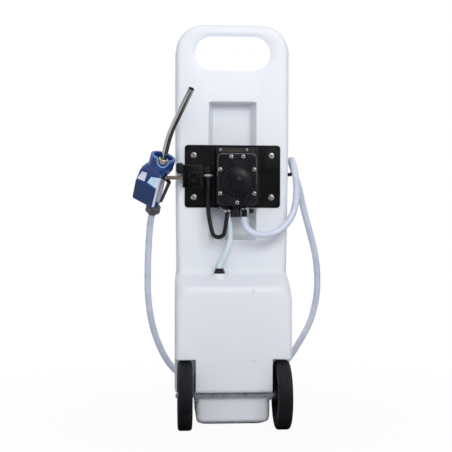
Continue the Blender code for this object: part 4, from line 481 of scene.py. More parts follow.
NATURAL_WHITE = coat("natural_white", "tank_white", (0.8, 0.823, 0.872), (0.775, 0.803, 0.855), 3.0, 420.0,
                     0.36, 0.48, relief=0.12, relief_depth=0.0006, Subsurface_Weight=0.3,
                     Subsurface_Scale=0.012, Subsurface_Radius=(1.0, 0.88, 0.84), Specular_IOR_Level=0.4)
POWDER_BLACK = coat("powder_black", "plate_black", (0.005, 0.005, 0.0056), (0.0028, 0.0028, 0.0034), 12.0,
                    700.0, 0.16, 0.28, relief=0.1, relief_depth=0.0003, wear=((0.05, 0.05, 0.055), 0.5),
                    Specular_IOR_Level=0.35)
MOULDED_BLACK = coat("moulded_black", "plastic_black", (0.0066, 0.0068, 0.0094), (0.0038, 0.004, 0.0058), 40.0,
                     1800.0, 0.3, 0.46, relief=0.25, wear=((0.05, 0.05, 0.06), 0.6),
                     Specular_IOR_Level=0.32)
SWITCH_BLACK = coat("switch_black", "plastic_black", (0.0042, 0.0042, 0.005), (0.0026, 0.0026, 0.0034), 40.0,
                    1800.0, 0.3, 0.46, relief=0.2, Specular_IOR_Level=0.25)
RUBBER_BLACK = coat("rubber_black", "rubber_black", (0.012, 0.012, 0.013), (0.006, 0.006, 0.007), 60.0, 1400.0,
                    0.45, 0.65, relief=0.2)
CRADLE_RUBBER = coat("cradle_rubber", "rubber_black", (0.008, 0.016, 0.013), (0.004, 0.01, 0.008), 70.0, 1500.0,
                     0.5, 0.7, relief=0.3, relief_depth=0.0002)
STAINLESS = metal("stainless", "stainless", (0.68, 0.66, 0.64), (0.55, 0.53, 0.52), 700.0, 0.1, 0.22,
                  relief=0.08, Metallic=1.0)
SCREW_BRIGHT = metal("screw_bright", "stainless", (0.82, 0.81, 0.8), (0.7, 0.69, 0.68), 500.0, 0.18, 0.3,
                     Metallic=0.84)
ZINC = coat("zinc", "zinc", (0.5, 0.55, 0.61), (0.36, 0.41, 0.47), 50.0, 900.0, 0.25, 0.42, relief=0.1,
            Metallic=0.45, dust=((0.3, 0.29, 0.28), 0.35))
AXLE_GREY = coat("axle_grey", "zinc", (0.4, 0.44, 0.49), (0.3, 0.34, 0.39), 40.0, 900.0, 0.25, 0.42,
                 Metallic=0.15)
NOZZLE_BLUE = coat("nozzle_blue", "nozzle_blue", (0.0105, 0.055, 0.255), (0.006, 0.035, 0.168), 24.0, 1100.0,
                   0.26, 0.4, relief=0.12, wear=((0.16, 0.32, 0.66), 0.9))
GRIP_NAVY = coat("grip_navy", "nozzle_blue", (0.024, 0.052, 0.15), (0.018, 0.042, 0.125), 30.0, 1600.0, 0.42,
                 0.58, relief=0.3, relief_depth=0.00015, Specular_IOR_Level=0.3)
LABEL_PALE = coat("label_pale", "tank_white", (0.66, 0.85, 0.97), (0.57, 0.79, 0.95), 90.0, 900.0, 0.25, 0.4)
LABEL_LAVENDER = coat("label_lavender", "tank_white", (0.88, 0.86, 0.98), (0.79, 0.77, 0.94), 80.0, 900.0, 0.25,
                      0.4)
# Pale lavender painted highlight, for the strips on the nozzle block's corner and in its trigger channel.
PAINTED_HIGHLIGHT_LAVENDER = coat("painted_highlight_lavender", "tank_white", (0.8, 0.8, 0.94), (0.72, 0.72, 0.9), 60.0, 900.0, 0.3,
                      0.45)
# Pale blue painted highlight, for the bead round the nozzle's notch.
NOTCH_PAINTED_HIGHLIGHT = coat("notch_painted_highlight", "nozzle_blue", (0.34, 0.5, 0.8), (0.26, 0.42, 0.74), 60.0, 1100.0, 0.28, 0.4)
COLLAR_WARM = metal("collar_warm", "stainless", (0.8, 0.72, 0.58), (0.62, 0.54, 0.42), 500.0, 0.16, 0.28,
                    Metallic=0.55)
# Grey for fine lines: the switch's arch line, and the painted highlight on the holder's top edge.
LINE_AND_HIGHLIGHT_GREY = coat("line_and_highlight_grey", "plastic_black", (0.05, 0.05, 0.054), (0.034, 0.034, 0.038), 60.0, 1300.0, 0.4,
                 0.55)
# Light grey painted highlight, for the line along the pump cover's top edge.
RIM_PAINTED_HIGHLIGHT = coat("rim_painted_highlight", "plastic_black", (0.21, 0.2, 0.24), (0.13, 0.125, 0.155), 60.0, 1300.0, 0.3, 0.45)
# A pale copy of the clamp steel: a painted highlight on the clamp ends, the outlet band's tab and the elbow
# nut's collar.
CLAMP_PAINTED_HIGHLIGHT = coat("clamp_painted_highlight", "stainless", (0.66, 0.66, 0.65), (0.5, 0.5, 0.5), 90.0, 1100.0, 0.25, 0.4,
                  Metallic=0.25)
CLAMP_GREY = metal("clamp_grey", "stainless", (0.34, 0.34, 0.35), (0.22, 0.22, 0.23), 500.0, 0.22, 0.36,
                   Metallic=0.8)
ROD_BROWN = metal("rod_brown", "stainless", (0.52, 0.43, 0.37), (0.38, 0.3, 0.25), 600.0, 0.14, 0.26,
                  Metallic=0.7)
STRIP_BROWN = coat("strip_brown", "plate_black", (0.04, 0.028, 0.03), (0.028, 0.02, 0.022), 60.0, 1500.0, 0.35,
                   0.5, relief=0.1)
HOSE_WATER = coat("hose_water", "hose_clear", (0.7, 0.8, 0.86), (0.64, 0.75, 0.82), 14.0, 500.0, 0.18, 0.3,
                  relief=0.05, Subsurface_Weight=0.3, Subsurface_Scale=0.006, Coat_Weight=0.3)
HOSE_MILKY = coat("hose_milky", "hose_clear", (0.64, 0.69, 0.8), (0.57, 0.62, 0.75), 14.0, 500.0, 0.22, 0.34,
                  relief=0.05, Subsurface_Weight=0.3, Subsurface_Scale=0.006, Coat_Weight=0.2)
TYRE_RUBBER = coat("tyre_rubber", "tyre_black", (0.0085, 0.0095, 0.013), (0.005, 0.0058, 0.008), 26.0, 1000.0,
                   0.55, 0.75, relief=0.25, relief_depth=0.0002, dust=((0.06, 0.058, 0.06), 0.4),
                   Specular_IOR_Level=0.4)
HUB_GREY = coat("hub_grey", "hub_grey", (0.022, 0.022, 0.025), (0.013, 0.013, 0.016), 30.0, 1300.0, 0.4, 0.55,
                relief=0.2, wear=((0.12, 0.12, 0.13), 0.4), dust=((0.1, 0.097, 0.095), 0.3))
SWIVEL_GREY = metal("swivel_grey", "hub_grey", (0.16, 0.155, 0.17), (0.1, 0.097, 0.11), 400.0, 0.3, 0.45,
                    relief=0.1, Metallic=0.6)
MOTOR_BLACK = coat("motor_black", "motor_steel", (0.016, 0.016, 0.018), (0.01, 0.01, 0.012), 35.0, 800.0, 0.26,
                   0.4, relief=0.12, wear=((0.1, 0.1, 0.11), 0.5))
CAP_BLUE = coat("cap_blue", "cap_blue", (0.03, 0.115, 0.42), (0.022, 0.09, 0.35), 30.0, 1300.0, 0.35, 0.5,
                relief=0.2, wear=((0.1, 0.22, 0.55), 0.6))

SLOT_FINISHES = {
    "tank_white": NATURAL_WHITE, "cap_blue": CAP_BLUE, "rubber_black": RUBBER_BLACK,
    "plate_black": POWDER_BLACK, "plastic_black": MOULDED_BLACK, "motor_steel": MOTOR_BLACK,
    "stainless": STAINLESS, "zinc": ZINC, "nozzle_blue": NOZZLE_BLUE, "hose_clear": HOSE_MILKY,
    "tyre_black": TYRE_RUBBER, "hub_grey": HUB_GREY,
}
for part in frame["record"]["subparts"]:
    mesh = NODES[part["node"]].data
    mesh.materials.clear()
    mesh.materials.append(SLOT_FINISHES[part["material_slot"]])


# Hoses, on the routes that the CAD gives them

PORT_TOP = PUMP_Z - 0.153 / 2 - GAP
HOSE_LEAD = 0.016
OUTLET = (0.0308, -0.133, PORT_TOP - 0.031)
ELBOW_END = (-0.074, PLATE_FRONT_Y - 0.0285, 0.716)
BYPASS = (-0.0205, -0.14, PORT_TOP - 0.011)
SUCTION = (-0.0165, -0.1245, PORT_TOP - 0.01)
FITTING = (-0.04, -0.101, 0.463)
SWIVEL_END = 0.0007
NOZZLE_AXIS_X = 0.004
NOZZLE = Matrix.Translation(NOZZLE_PLACE) @ (
    Matrix.Rotation(math.radians(NOZZLE_ANGLES[1]), 4, "Y")
    @ Matrix.Rotation(math.radians(NOZZLE_ANGLES[0]), 4, "X")
    @ Matrix.Rotation(math.radians(NOZZLE_ANGLES[2]), 4, "Z")
)


def below(point, drop):
    """A point straight under another."""
    return (point[0], point[1], point[2] - drop)


DELIVERY_ROUTE = [
    below(OUTLET, GAP), below(OUTLET, HOSE_LEAD / 3),
    *mm(
        (33.5, -134.5, 601), (42.5, -136.5, 587), (56, -138.5, 577.5), (74, -140, 572.5),
        (100.5, -139.5, 572.5), (125, -135, 580), (150, -129, 597), (172, -120, 625.5), (185, -109, 660),
        (190.5, -96, 696), (192, -79, 733), (190.5, -56, 769), (188.5, -32, 790), (187.5, -8, 800),
        (190, 15, 795), (198, 30, 776), (208, 37, 748), (220, 41, 711), (233, 48, 658), (249, 57, 603),
        (264, 66, 554), (277, 75, 505), (285, 84, 450), (287, 93, 390), (280, 101, 333), (264, 108, 278),
        (236, 115, 223), (196, 122, 160), (138, 127, 106), (65, 129, 72), (-20, 129, 64), (-100, 128, 84),
        (-166, 122, 129), (-206, 110, 185), (-238, 93, 270), (-253, 76, 360), (-255, 56, 450), (-252, 32, 535),
        (-247.5, 8, 595)
    ),
    tuple(NOZZLE @ Vector((NOZZLE_AXIS_X, 0, SWIVEL_END - HOSE_LEAD))),
    tuple(NOZZLE @ Vector((NOZZLE_AXIS_X, 0, SWIVEL_END - GAP)))
]
BYPASS_ROUTE = [
    below(ELBOW_END, GAP), below(ELBOW_END, HOSE_LEAD),
    *mm(
        (-74.5, -113, 665), (-73.5, -118, 632), (-68, -124, 599), (-64, -126.5, 583.5), (-58.6, -129, 570.4),
        (-45.5, -133, 565), (-32.4, -137, 570.4), (-27, -139, 583.5), (-24.5, -139.5, 599)
    ),
    below(BYPASS, HOSE_LEAD), below(BYPASS, GAP)
]
SUCTION_ROUTE = [
    below(SUCTION, GAP), below(SUCTION, HOSE_LEAD), *mm((-10, -122, 585), (-12, -117, 548), (-24, -109, 511)),
    below(FITTING, -HOSE_LEAD), below(FITTING, -GAP)
]


def smooth_route(route, spacing):
    """Points a set distance apart on a smooth curve through a route, with its two ends straight."""
    points = [Vector(point) for point in route]
    fine = []
    per_span = 24
    for a, b, c, d in zip(points, points[1:], points[2:], points[3:]):
        for step in range(per_span):
            t = step / per_span
            fine.append(0.5 * (2 * b + (c - a) * t + (2 * a - 5 * b + 4 * c - d) * t * t
                               + (3 * b - a - 3 * c + d) * t * t * t))
    fine.append(points[-2])
    lengths = [0.0]
    for before, after in zip(fine, fine[1:]):
        lengths.append(lengths[-1] + (after - before).length)
    count = max(4, round(lengths[-1] / spacing))
    spaced = []
    place = 0
    for index in range(count + 1):
        target = lengths[-1] * index / count
        while place < len(fine) - 2 and lengths[place + 1] < target:
            place += 1
        share = (target - lengths[place]) / (lengths[place + 1] - lengths[place])
        spaced.append(fine[place].lerp(fine[place + 1], min(1.0, share)))
    return [points[0]] + spaced + [points[-1]]


def make_hose(name, route, radius, finish, node, follows=None):
    """A hose as a smooth round tube, set on the cart's body, or with follows given left on no body."""
    points = smooth_route(route, radius * 0.8)
    made = blank(name, sweep(points, radius, 28))
    fit(made, finish, node, None if follows else "cart", sharp=60)
    if follows:
        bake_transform(made)


make_hose("delivery_tube", DELIVERY_ROUTE, DELIVERY_RADIUS, HOSE_MILKY, "delivery_hose",
          follows="nozzle")
make_hose("bypass_tube", BYPASS_ROUTE, BYPASS_HOSE_RADIUS, RUBBER_BLACK, "bypass_hose")
make_hose("suction_tube", SUCTION_ROUTE, SUCTION_HOSE_RADIUS, HOSE_WATER, "suction_hose")


# Tank

def offset(points, distance):
    """A profile of (value, height) points moved sideways by a distance, to its left going up."""
    result = []
    for index in range(len(points)):
        lines = []
        for first, second in ((index - 1, index), (index, index + 1)):
            if first < 0 or second >= len(points):
                continue
            along = (Vector(points[second]) - Vector(points[first])).normalized()
            lines.append(Vector((-along.y, along.x)))
        normal = sum(lines, Vector((0, 0))).normalized()
        result.append(tuple(Vector(points[index]) + normal * distance / max(normal.dot(lines[0]), 0.5)))
    return result


def value_at(profile, height):
    """The value of a profile at a height."""
    for (low_value, low), (high_value, high) in zip(profile, profile[1:]):
        if low <= height <= high and high > low:
            return low_value + (high_value - low_value) * (height - low) / (high - low)
    return profile[0][0] if height < profile[0][1] else profile[-1][0]


FOOT_RISE, FOOT_SET, FOOT_REAR_ROUND, FOOT_LIP = 0.046, 0.018, 0.03, 0.021
FILLET = EDGE_RADIUS / 2
ROUND_STEPS = 7
RECESS_TOP_DRAFT = 0.004


def half_profile():
    """Half the tank's width over its height."""
    half = arc((TOE_HALF - FOOT_SET, FOOT_RISE), (FOOT_SET, FOOT_RISE), -90, 0, ROUND_STEPS)
    half += rounded(
        [
            (TOE_HALF, FOOT_RISE), (TOE_HALF, SKIRT_BOTTOM), (TANK_HALF, SKIRT_BOTTOM + SKIRT_SLOPE),
            (TANK_HALF, SHOULDER_FRONT), (WAIST_HALF, SHOULDER_REAR), (TANK_HALF, WAIST_TOP),
            (TANK_HALF, TANK_HEIGHT - TOP_CORNER_RADIUS),
        ],
        [FILLET / 2, FILLET, EDGE_RADIUS, EDGE_RADIUS, 0], ROUND_STEPS,
    )[1:-1]
    corner = (TANK_HALF - TOP_CORNER_RADIUS, TANK_HEIGHT - TOP_CORNER_RADIUS)
    return half + arc(corner, TOP_CORNER_RADIUS, 0, 90, 24)


def front_profile():
    """The tank's front over its height."""
    front = rounded(
        [
            (FOOT_FRONT_Y, 0.0), (TOE_Y, FOOT_LIP), (TOE_Y, BULGE_BOTTOM - DRAFT_RISE), (BULGE_Y, BULGE_BOTTOM),
            (BULGE_Y, SHOULDER_FRONT), (PANEL_Y, SHOULDER_REAR), (PANEL_Y, TANK_HEIGHT - EDGE_RADIUS),
        ],
        [FILLET, FILLET, EDGE_RADIUS * 0.8, EDGE_RADIUS, EDGE_RADIUS], ROUND_STEPS,
    )[:-1]
    top = (PANEL_Y + EDGE_RADIUS, TANK_HEIGHT - EDGE_RADIUS)
    return front + arc(top, (-EDGE_RADIUS, EDGE_RADIUS), 0, 90, 10)


def back_profile():
    """The tank's back over its height."""
    foot = (REAR_Y - FOOT_REAR_ROUND, FOOT_REAR_ROUND)
    back = arc(foot, FOOT_REAR_ROUND, -90, 0, ROUND_STEPS)
    return back + arc((REAR_Y - EDGE_RADIUS, TANK_HEIGHT - EDGE_RADIUS), EDGE_RADIUS, 0, 90, 10)


def recess_profile(wall):
    """The depth of the recess behind the plate over the height, with soft edges."""
    soft = 0.003
    return rounded([(0.0, RECESS_BOTTOM - wall - soft * 2), (0.0, RECESS_BOTTOM - wall),
                    (RECESS_DEPTH, RECESS_BOTTOM + RECESS_DRAFT - wall),
                    (RECESS_DEPTH, RECESS_TOP - RECESS_TOP_DRAFT + wall), (0.0, RECESS_TOP + wall),
                    (0.0, RECESS_TOP + wall + soft * 2)], [soft, soft, soft, soft], 4)


def shoulder_sizes(size):
    """A front corner's size over the height: it grows where the lower body leans back."""
    return [(EDGE_RADIUS, SHOULDER_START), (size, SHOULDER_FRONT), (EDGE_RADIUS, SHOULDER_REAR + EDGE_RADIUS)]


def tank_form(name, wall):
    """The tank's outer form, or with a wall the hollow inside it."""
    half, front, back, recess = half_profile(), front_profile(), back_profile(), recess_profile(wall)
    across, along = shoulder_sizes(0.046), shoulder_sizes(0.06)
    if wall:
        half, back, front = offset(half, wall), offset(back, wall), offset(front, -wall)
    extra = [SHOULDER_START + (SHOULDER_REAR - SHOULDER_START) * step / 12 for step in range(13)]
    heights = sorted([point[1] for profile in (half, front, back, recess) for point in profile] + extra)
    least = DRAFT_RISE * (1.5 if wall else 0.15)
    levels = [wall]
    for height in heights:
        if levels[-1] + least < height < TANK_HEIGHT - wall - least:
            levels.append(height)
    levels.append(TANK_HEIGHT - wall)
    steps = 4 if wall else 9
    loops = []
    for height in levels:
        width, near, far = value_at(half, height), value_at(front, height), value_at(back, height)
        corner_x, corner_y = value_at(across, height) - wall, value_at(along, height) - wall
        rear_corner, depth = EDGE_RADIUS - wall, value_at(recess, height)
        rim = min(RECESS_HALF + wall, width - corner_x - 0.006)
        soft = 0.0005 + min(0.0035, depth * 0.45)
        side = rounded(
            [
                (rim - RECESS_DRAFT - 0.006, near + depth), (rim - RECESS_DRAFT, near + depth),
                (rim, near), (rim + 0.0055, near),
            ],
            [soft, soft], 4,
        )
        side += arc((width - corner_x, near + corner_y), (corner_x, corner_y), -90, 0, steps)
        side += arc((width - rear_corner, far - rear_corner), rear_corner, 0, 90, steps)
        loops.append([(x, y, height) for x, y in side + [(-x, y) for x, y in reversed(side)]])
    return blank(name, loft(loops))


def hand_hole(grow):
    """A tool for the hand hole, flared at both faces by the rim."""
    rim = HAND_HOLE_RIM
    flare = [(PANEL_Y - OVERSHOOT, rim + OVERSHOOT)]
    steps = 8
    for step in range(1, steps + 1):
        angle = math.radians(90 * step / steps)
        flare.append((PANEL_Y + rim * (1 - math.cos(angle)), rim * (1 - math.sin(angle))))
    flare += [(PANEL_Y + REAR_Y - y, size) for y, size in reversed(flare)]
    loops = []
    for y, size in flare:
        radius = HAND_HOLE_HEIGHT / 2 + grow + size
        reach = HAND_HOLE_WIDTH / 2 - HAND_HOLE_HEIGHT / 2
        outline = arc((reach, HAND_HOLE_MIDDLE), radius, -90, 90, 20)
        outline += arc((-reach, HAND_HOLE_MIDDLE), radius, 90, 270, 20)
        loops.append([(x, y, z) for x, z in outline])
    return blank("hand_hole_tool", loft(loops))


def wheel_wells(grow):
    """Tools for the two wheel wells in the tank's front corners."""
    front, side, corner = BULGE_Y - OVERSHOOT, TANK_HALF + OVERSHOOT, WELL_CORNER + grow
    wells = []
    for sign in (-1, 1):
        outline = [(sign * side, WELL_BACK_Y + grow), (sign * side, front), (sign * (WELL_HALF - grow), front)]
        inner = (WELL_HALF - grow + corner, WELL_BACK_Y + grow - corner)
        outline += [(sign * x, y) for x, y in arc(inner, corner, 180, 90, 10)]
        wells.append(prism(outline, -OVERSHOOT, WELL_TOP + grow, "Z"))
    return blank("well_tool", merged(*wells))


def rod_tool(place, radius, low, high):
    """A round tool along Y."""
    return blank("rod_tool", prism(circle(radius, 48, place), low, high))


def make_tank():
    """The hollow tank, with its neck, hand hole, recess, moulding marks and seam."""
    tank = tank_form("tank_shell", 0.0)
    hollow = carve(
        tank_form("tank_hollow", TANK_WALL), hand_hole(TANK_WALL), wheel_wells(TANK_WALL),
    )
    neck = rod_tool((0, FILLER_Z), NECK_RADIUS, REAR_Y - TANK_WALL / 2, REAR_Y + NECK_LENGTH)
    raised = turned([(0, SHOULDER_FRONT), (0.019, SHOULDER_FRONT), (0.019, 0.4552), (0.0182, 0.4562),
                     (0, 0.4562)], 56)
    carve(tank, neck, blank("boss_tool", raised, at((FITTING[0], FITTING[1], 0))), operation="UNION")
    seat = mm((0, 410), (11.6, 410), (11.6, 456.2), (17.1, 456.2), (17.1, 467), (0, 467))
    carve(
        tank, wheel_wells(0.0), hand_hole(0.0), hollow,
        rod_tool((0, FILLER_Z), NECK_RADIUS - NECK_WALL, REAR_Y - 0.009, REAR_Y + NECK_LENGTH + OVERSHOOT),
        blank("seat_tool", turned(seat, 40), at((FITTING[0], FITTING[1], 0))),
    )
    fit(tank, NATURAL_WHITE, "tank", sharp=48)
    front = front_profile()
    marks = [moved(turned(mm((0, -1), (5.2, -1), (5.2, 0.3), (4.4, 1.2), (3.4, 1.2), (2.8, 0.5), (0, 0.5)), 32),
                   at((x, value_at(front, z), z), FRONT)) for x, z in ((0.0554, 0.41), (0.0578, 0.2059))]
    add("tank_marks", merged(*marks), NATURAL_WHITE)
    side = [(x, z) for x, z in half_profile() if z > 0.004]
    seam_y = (PANEL_Y + REAR_Y) / 2
    path = [(x, seam_y, z) for x, z in side] + [(-x, seam_y, z) for x, z in reversed(side)]
    dense = []
    for first, second in zip(path, path[1:]):
        if (Vector(second) - Vector(first)).length > 0.0005:
            dense.append(first)
    dense.append(path[-1])
    add("tank_seam", sweep(dense, SEAM_RADIUS, 8), NATURAL_WHITE)


make_tank()


def make_filler():
    """The cap with its grips, and the gasket."""
    place = at((0, REAR_Y + NECK_LENGTH + GAP, FILLER_Z), BACK)
    radius, count, grips, grip_depth = 0.0385, 96, 16, 0.0018
    loops = []
    levels = mm((-14, 1.5), (-12.5, 0), (6, 0), (7.8, 0.6), (8.3, 2), (8.3, 8), (7.4, 9), (7.4, 30))
    for height, inset in levels:
        ring = []
        for index, (x, y) in enumerate(circle(1.0, count)):
            wave = 0.5 + 0.5 * math.cos(2 * math.pi * grips * index / count)
            depth = grip_depth * wave ** 0.5 if inset < 0.004 else 0.0
            ring.append((x * (radius - inset - depth), y * (radius - inset - depth), height))
        loops.append(ring)
    cap = blank("filler_cap_shell", loft(loops), place)
    inside = turned(mm((0, -20), (30.6, -20), (30.6, 3.3), (0, 3.3)), 64)
    carve(cap, blank("cap_tool", inside, place))
    fit(cap, CAP_BLUE, "filler_cap", body="cap", sharp=40)
    ring = turned(mm((25.5, 0), (30, 0), (30, 3), (25.5, 3)), 64, closed=True)
    add("filler_seal_ring", ring, RUBBER_BLACK, place, node="filler_gasket", body="seal", edge=0.0006)


make_filler()


# Wheels

def make_wheels():
    """Ribbed tyres and moulded hubs, and the axle with its nuts and brackets."""
    half, tread, bore = TYRE_WIDTH / 2, WHEEL_RADIUS, 0.066
    flat = 0.0125
    ribs = 7
    profile = [(bore, -0.015), (0.0685, -0.0172), (0.073, -half + 0.0004), (0.0765, -half + 0.0012),
               (0.083, -half), (0.0905, -half)]
    profile += arc((tread - 0.0085, -half + 0.0085), 0.0085, -90, -18, 5)
    for row in range(ribs):
        start = -flat + 2 * flat * row / ribs
        width = 2 * flat / ribs
        for share, drop in ((0.0, 0.0), (0.66, 0.0), (0.74, 0.0011), (0.92, 0.0011)):
            if row < ribs - 1 or share < 0.7:
                profile.append((tread - drop, start + width * share))
    profile += [(r, -y) for r, y in reversed(profile[:12])]
    rim = bore - GAP
    hub = [(0.0069, -0.02275), (0.013, -0.02275), (0.0145, -0.0212), (0.015, -0.008), (0.019, -0.0052),
           (0.054, -0.003), (0.059, -0.004), (0.0602, -0.0139), (0.0612, -0.0147), (rim, -0.0147),
           (rim, 0.0147), (0.0612, 0.0147), (0.0602, 0.0139), (0.059, 0.004), (0.054, 0.003), (0.019, 0.0052),
           (0.015, 0.008), (0.0145, 0.016), (0.013, 0.01675), (0.0069, 0.01675)]
    spoke = mm((13.5, 3), (60, 2), (60, 10.5), (13.5, 13.5))
    for name, side in (("left", -1), ("right", 1)):
        place = at((side * WHEEL_X, AXLE_Y, AXLE_Z), (0, 90 * side, 0))
        add(f"tyre_ring_{name}", turned(profile, 96, closed=True), TYRE_RUBBER, place, node=f"tyre_{name}",
            body=f"wheel_{name}", sharp=32)
        webs = []
        for index in range(6):
            turn = Matrix.Rotation(math.radians(60 * index + 30), 4, "Z")
            webs.append(moved(loft([[(x, -w, z) for x, z in spoke] for w in (-0.0022, 0.0022)]), turn))
        body = merged(turned(hub, 80, closed=True), *webs)
        add(f"hub_moulding_{name}", body, HUB_GREY, place, node=f"wheel_hub_{name}", body=f"wheel_{name}",
            sharp=32)
        nut = turned(mm((6.6, 0), (11.5, 0), (11.5, 0.8), (10.4, 1.2), (10.4, 4.2), (8.5, 6), (6.6, 6)), 48,
                     closed=True)
        nut_place = at((side * (WHEEL_X + 0.01705), AXLE_Y, AXLE_Z), (0, 90 * side, 0))
        add(f"axle_push_nut_{name}", nut, ZINC, nut_place, node=f"axle_nut_{name}", sharp=30)
        outer = side * 0.115
        inner = outer - side * 0.016
        radius = 0.0138
        back, top = TOE_Y - GAP, BULGE_BOTTOM - DRAFT_RISE - GAP
        outline = arc((AXLE_Y, AXLE_Z), radius, 180, 270, 12)
        outline += [(back, AXLE_Z - radius), (back, top - 0.0093), (back - 0.0093, top), (AXLE_Y - radius, top)]
        bracket = blank(f"bearing_block_{name}", prism(outline, min(inner, outer), max(inner, outer), "X"))
        hole = prism(circle(0.0066, 32, (AXLE_Y, AXLE_Z)), min(inner, outer) - OVERSHOOT,
                     max(inner, outer) + OVERSHOOT, "X")
        carve(bracket, blank("axle_tool", hole))
        fit(bracket, ZINC, f"axle_bracket_{name}", edge=0.0008)
    end = 0.1703
    rod = turned([(0, -end), (0.005, -end), (AXLE_RADIUS, -end + 0.0012), (AXLE_RADIUS, end - 0.0012),
                  (0.005, end), (0, end)], 40)
    add("axle_rod", rod, AXLE_GREY, at((0, AXLE_Y, AXLE_Z), RIGHT), node="axle", sharp=30)


make_wheels()


# Plate with its bolts, bracket and motor

PLATE_Z, PLATE_WIDTH, PLATE_HEIGHT = 0.7455, 0.287, 0.187
LEAF_BACK_Y = PLATE_FRONT_Y - 0.036
LEAF_FRONT_Y = LEAF_BACK_Y - 0.0025


def hexagon(radius, low, high, chamfer):
    """A hexagonal head with a chamfered top."""
    ring = circle(radius, 6)
    top = circle(radius - chamfer, 6)
    return loft([[(x, y, low) for x, y in ring], [(x, y, high - chamfer * 0.5) for x, y in ring],
                 [(x, y, high) for x, y in top]])


def make_plate():
    """The plate and its four flanged bolts."""
    outline = rounded_rectangle((0, PLATE_Z), PLATE_WIDTH, PLATE_HEIGHT, 0.01)
    plate = blank("panel_plate", prism(outline, PLATE_FRONT_Y, PLATE_BACK_Y))
    carve(plate, rod_tool((PUMP_X, PUMP_Z), 0.0385, PLATE_FRONT_Y - OVERSHOOT, PLATE_BACK_Y + OVERSHOOT))
    fit(plate, POWDER_BLACK, "pump_plate", edge=0.0007, segments=3)
    bolt_x, bolt_z = 0.1165, 0.0625
    profile = mm((0, -12), (3.4, -12), (3.4, 0), (9, 0), (9, 0.6), (8.2, 1.3), (7, 1.8), (0, 1.8))
    for number, (side, up) in enumerate(((-1, 1), (1, 1), (-1, -1), (1, -1)), 1):
        bolt = merged(turned(profile, 40), hexagon(0.0066, 0.0015, 0.0067, 0.0008))
        place = at((side * bolt_x, PLATE_FRONT_Y - GAP, PLATE_Z + up * bolt_z), FRONT)
        spin = Matrix.Rotation(math.radians(17 * number), 4, "Z")
        add(f"flange_bolt_{number}", bolt, SCREW_BRIGHT, place @ spin, node=f"plate_bolt_{number}", edge=0.0004,
            sharp=30)


def button_screw(name, place, size, node=None):
    """A button-head screw with a hexagonal socket."""
    radius, brim, crown = 0.006 * size, 0.0007, 0.0029
    angles = [math.radians(angle) for angle in (18, 36, 52, 66, 78)]
    dome = mm((0, -10), (2.2, -10), (2.2, 0)) + [(radius, 0.0), (radius, brim)]
    dome += [(radius * math.cos(angle), brim + crown * math.sin(angle)) for angle in angles]
    dome.append((0, 0.0036))
    screw = blank(name, turned(dome, 40), place)
    socket = blank("socket_tool", prism(circle(0.0028 * size, 6), 0.001, 0.006, "Z"), place)
    carve(screw, socket)
    fit(screw, SCREW_BRIGHT, node, sharp=34)
    # A black plug at the socket's floor: painted shade that makes the socket look deep.
    floor = turned([(0, 0.0008), (0.0026 * size, 0.0008), (0.0026 * size, 0.0013), (0, 0.0016)], 24)
    add(f"{name}_socket", floor, RUBBER_BLACK, place, slot="stainless", sharp=34)


def make_bracket():
    """The bracket that stands the pump off the plate, its screws and the blank strip on it."""
    back, sheet, left, right, foot = PLATE_FRONT_Y - GAP, 0.0025, -0.0505, 0.072, 0.009
    outline = [
        (left - foot, back), (left - foot, back - sheet), (left, back - sheet), (left, LEAF_FRONT_Y),
        (right, LEAF_FRONT_Y), (right, back - sheet), (right + foot, back - sheet), (right + foot, back),
        (right - sheet, back), (right - sheet, LEAF_BACK_Y), (left + sheet, LEAF_BACK_Y), (left + sheet, back),
    ]
    bracket = blank("stand_off_bracket", prism(outline, 0.662, 0.83, "Z"))
    carve(bracket, rod_tool((PUMP_X, PUMP_Z), SHAFT_BORE, LEAF_FRONT_Y - OVERSHOOT, LEAF_BACK_Y + OVERSHOOT))
    fit(bracket, POWDER_BLACK, "pump_bracket", edge=0.0006)
    strip = prism(rounded_rectangle((0.0, 0.8213), 0.062, 0.0105, 0.001, 3), LEAF_FRONT_Y - 0.0009,
                  LEAF_FRONT_Y - 0.0001)
    add("bracket_strip", strip, STRIP_BROWN, edge=0.0003)
    for number, side in ((1, -1), (2, 1)):
        button_screw(f"bracket_button_screw_{number}", at((side * 0.0385, LEAF_FRONT_Y - GAP, 0.8218), FRONT),
                     0.8, f"bracket_screw_{number}")


def make_motor():
    """The motor's can with its rolled rims, and its end cap."""
    radius, length = 0.034, 0.076
    can = [(0.0041, 0), (0.03, 0), (0.0328, 0.0008), (radius, 0.0022), (radius, 0.004), (0.0334, 0.0048),
           (0.0334, 0.0064), (radius, 0.0072), (radius, length - 0.01), (0.0334, length - 0.009),
           (0.0334, length - 0.0075), (radius, length - 0.0065), (radius, length), (0, length), (0, 0.0606),
           (0.0041, 0.0606)]
    place = (PUMP_X, LEAF_BACK_Y + GAP, PUMP_Z)
    add("motor_shell", turned(can, 72, closed=True), MOTOR_BLACK, at(place, BACK), node="motor_can", sharp=30)
    cap = mm((0, 0), (35.2, 0), (35.2, 4.2), (34.2, 5.6), (32.2, 6.8), (29, 8), (12, 8), (11, 7), (0, 7))
    add("motor_cover", turned(cap, 72), MOULDED_BLACK, at((PUMP_X, place[1] + length + GAP, PUMP_Z), BACK),
        node="motor_end_cap", sharp=30)


make_plate()
make_bracket()
make_motor()


# Pump head

HEAD_WIDTH, HEAD_HEIGHT, HEAD_CORNER = 0.115, 0.153, 0.017
BODY_BACK_Y, BODY_FRONT_Y = LEAF_FRONT_Y - GAP, LEAF_FRONT_Y - GAP - 0.0295
SCREW_SPOTS = mm((-17.3, 67), (17.3, 67), (-49.5, 30), (49.5, 30), (-49.5, -39.7), (49.5, -39.7), (0, -66))


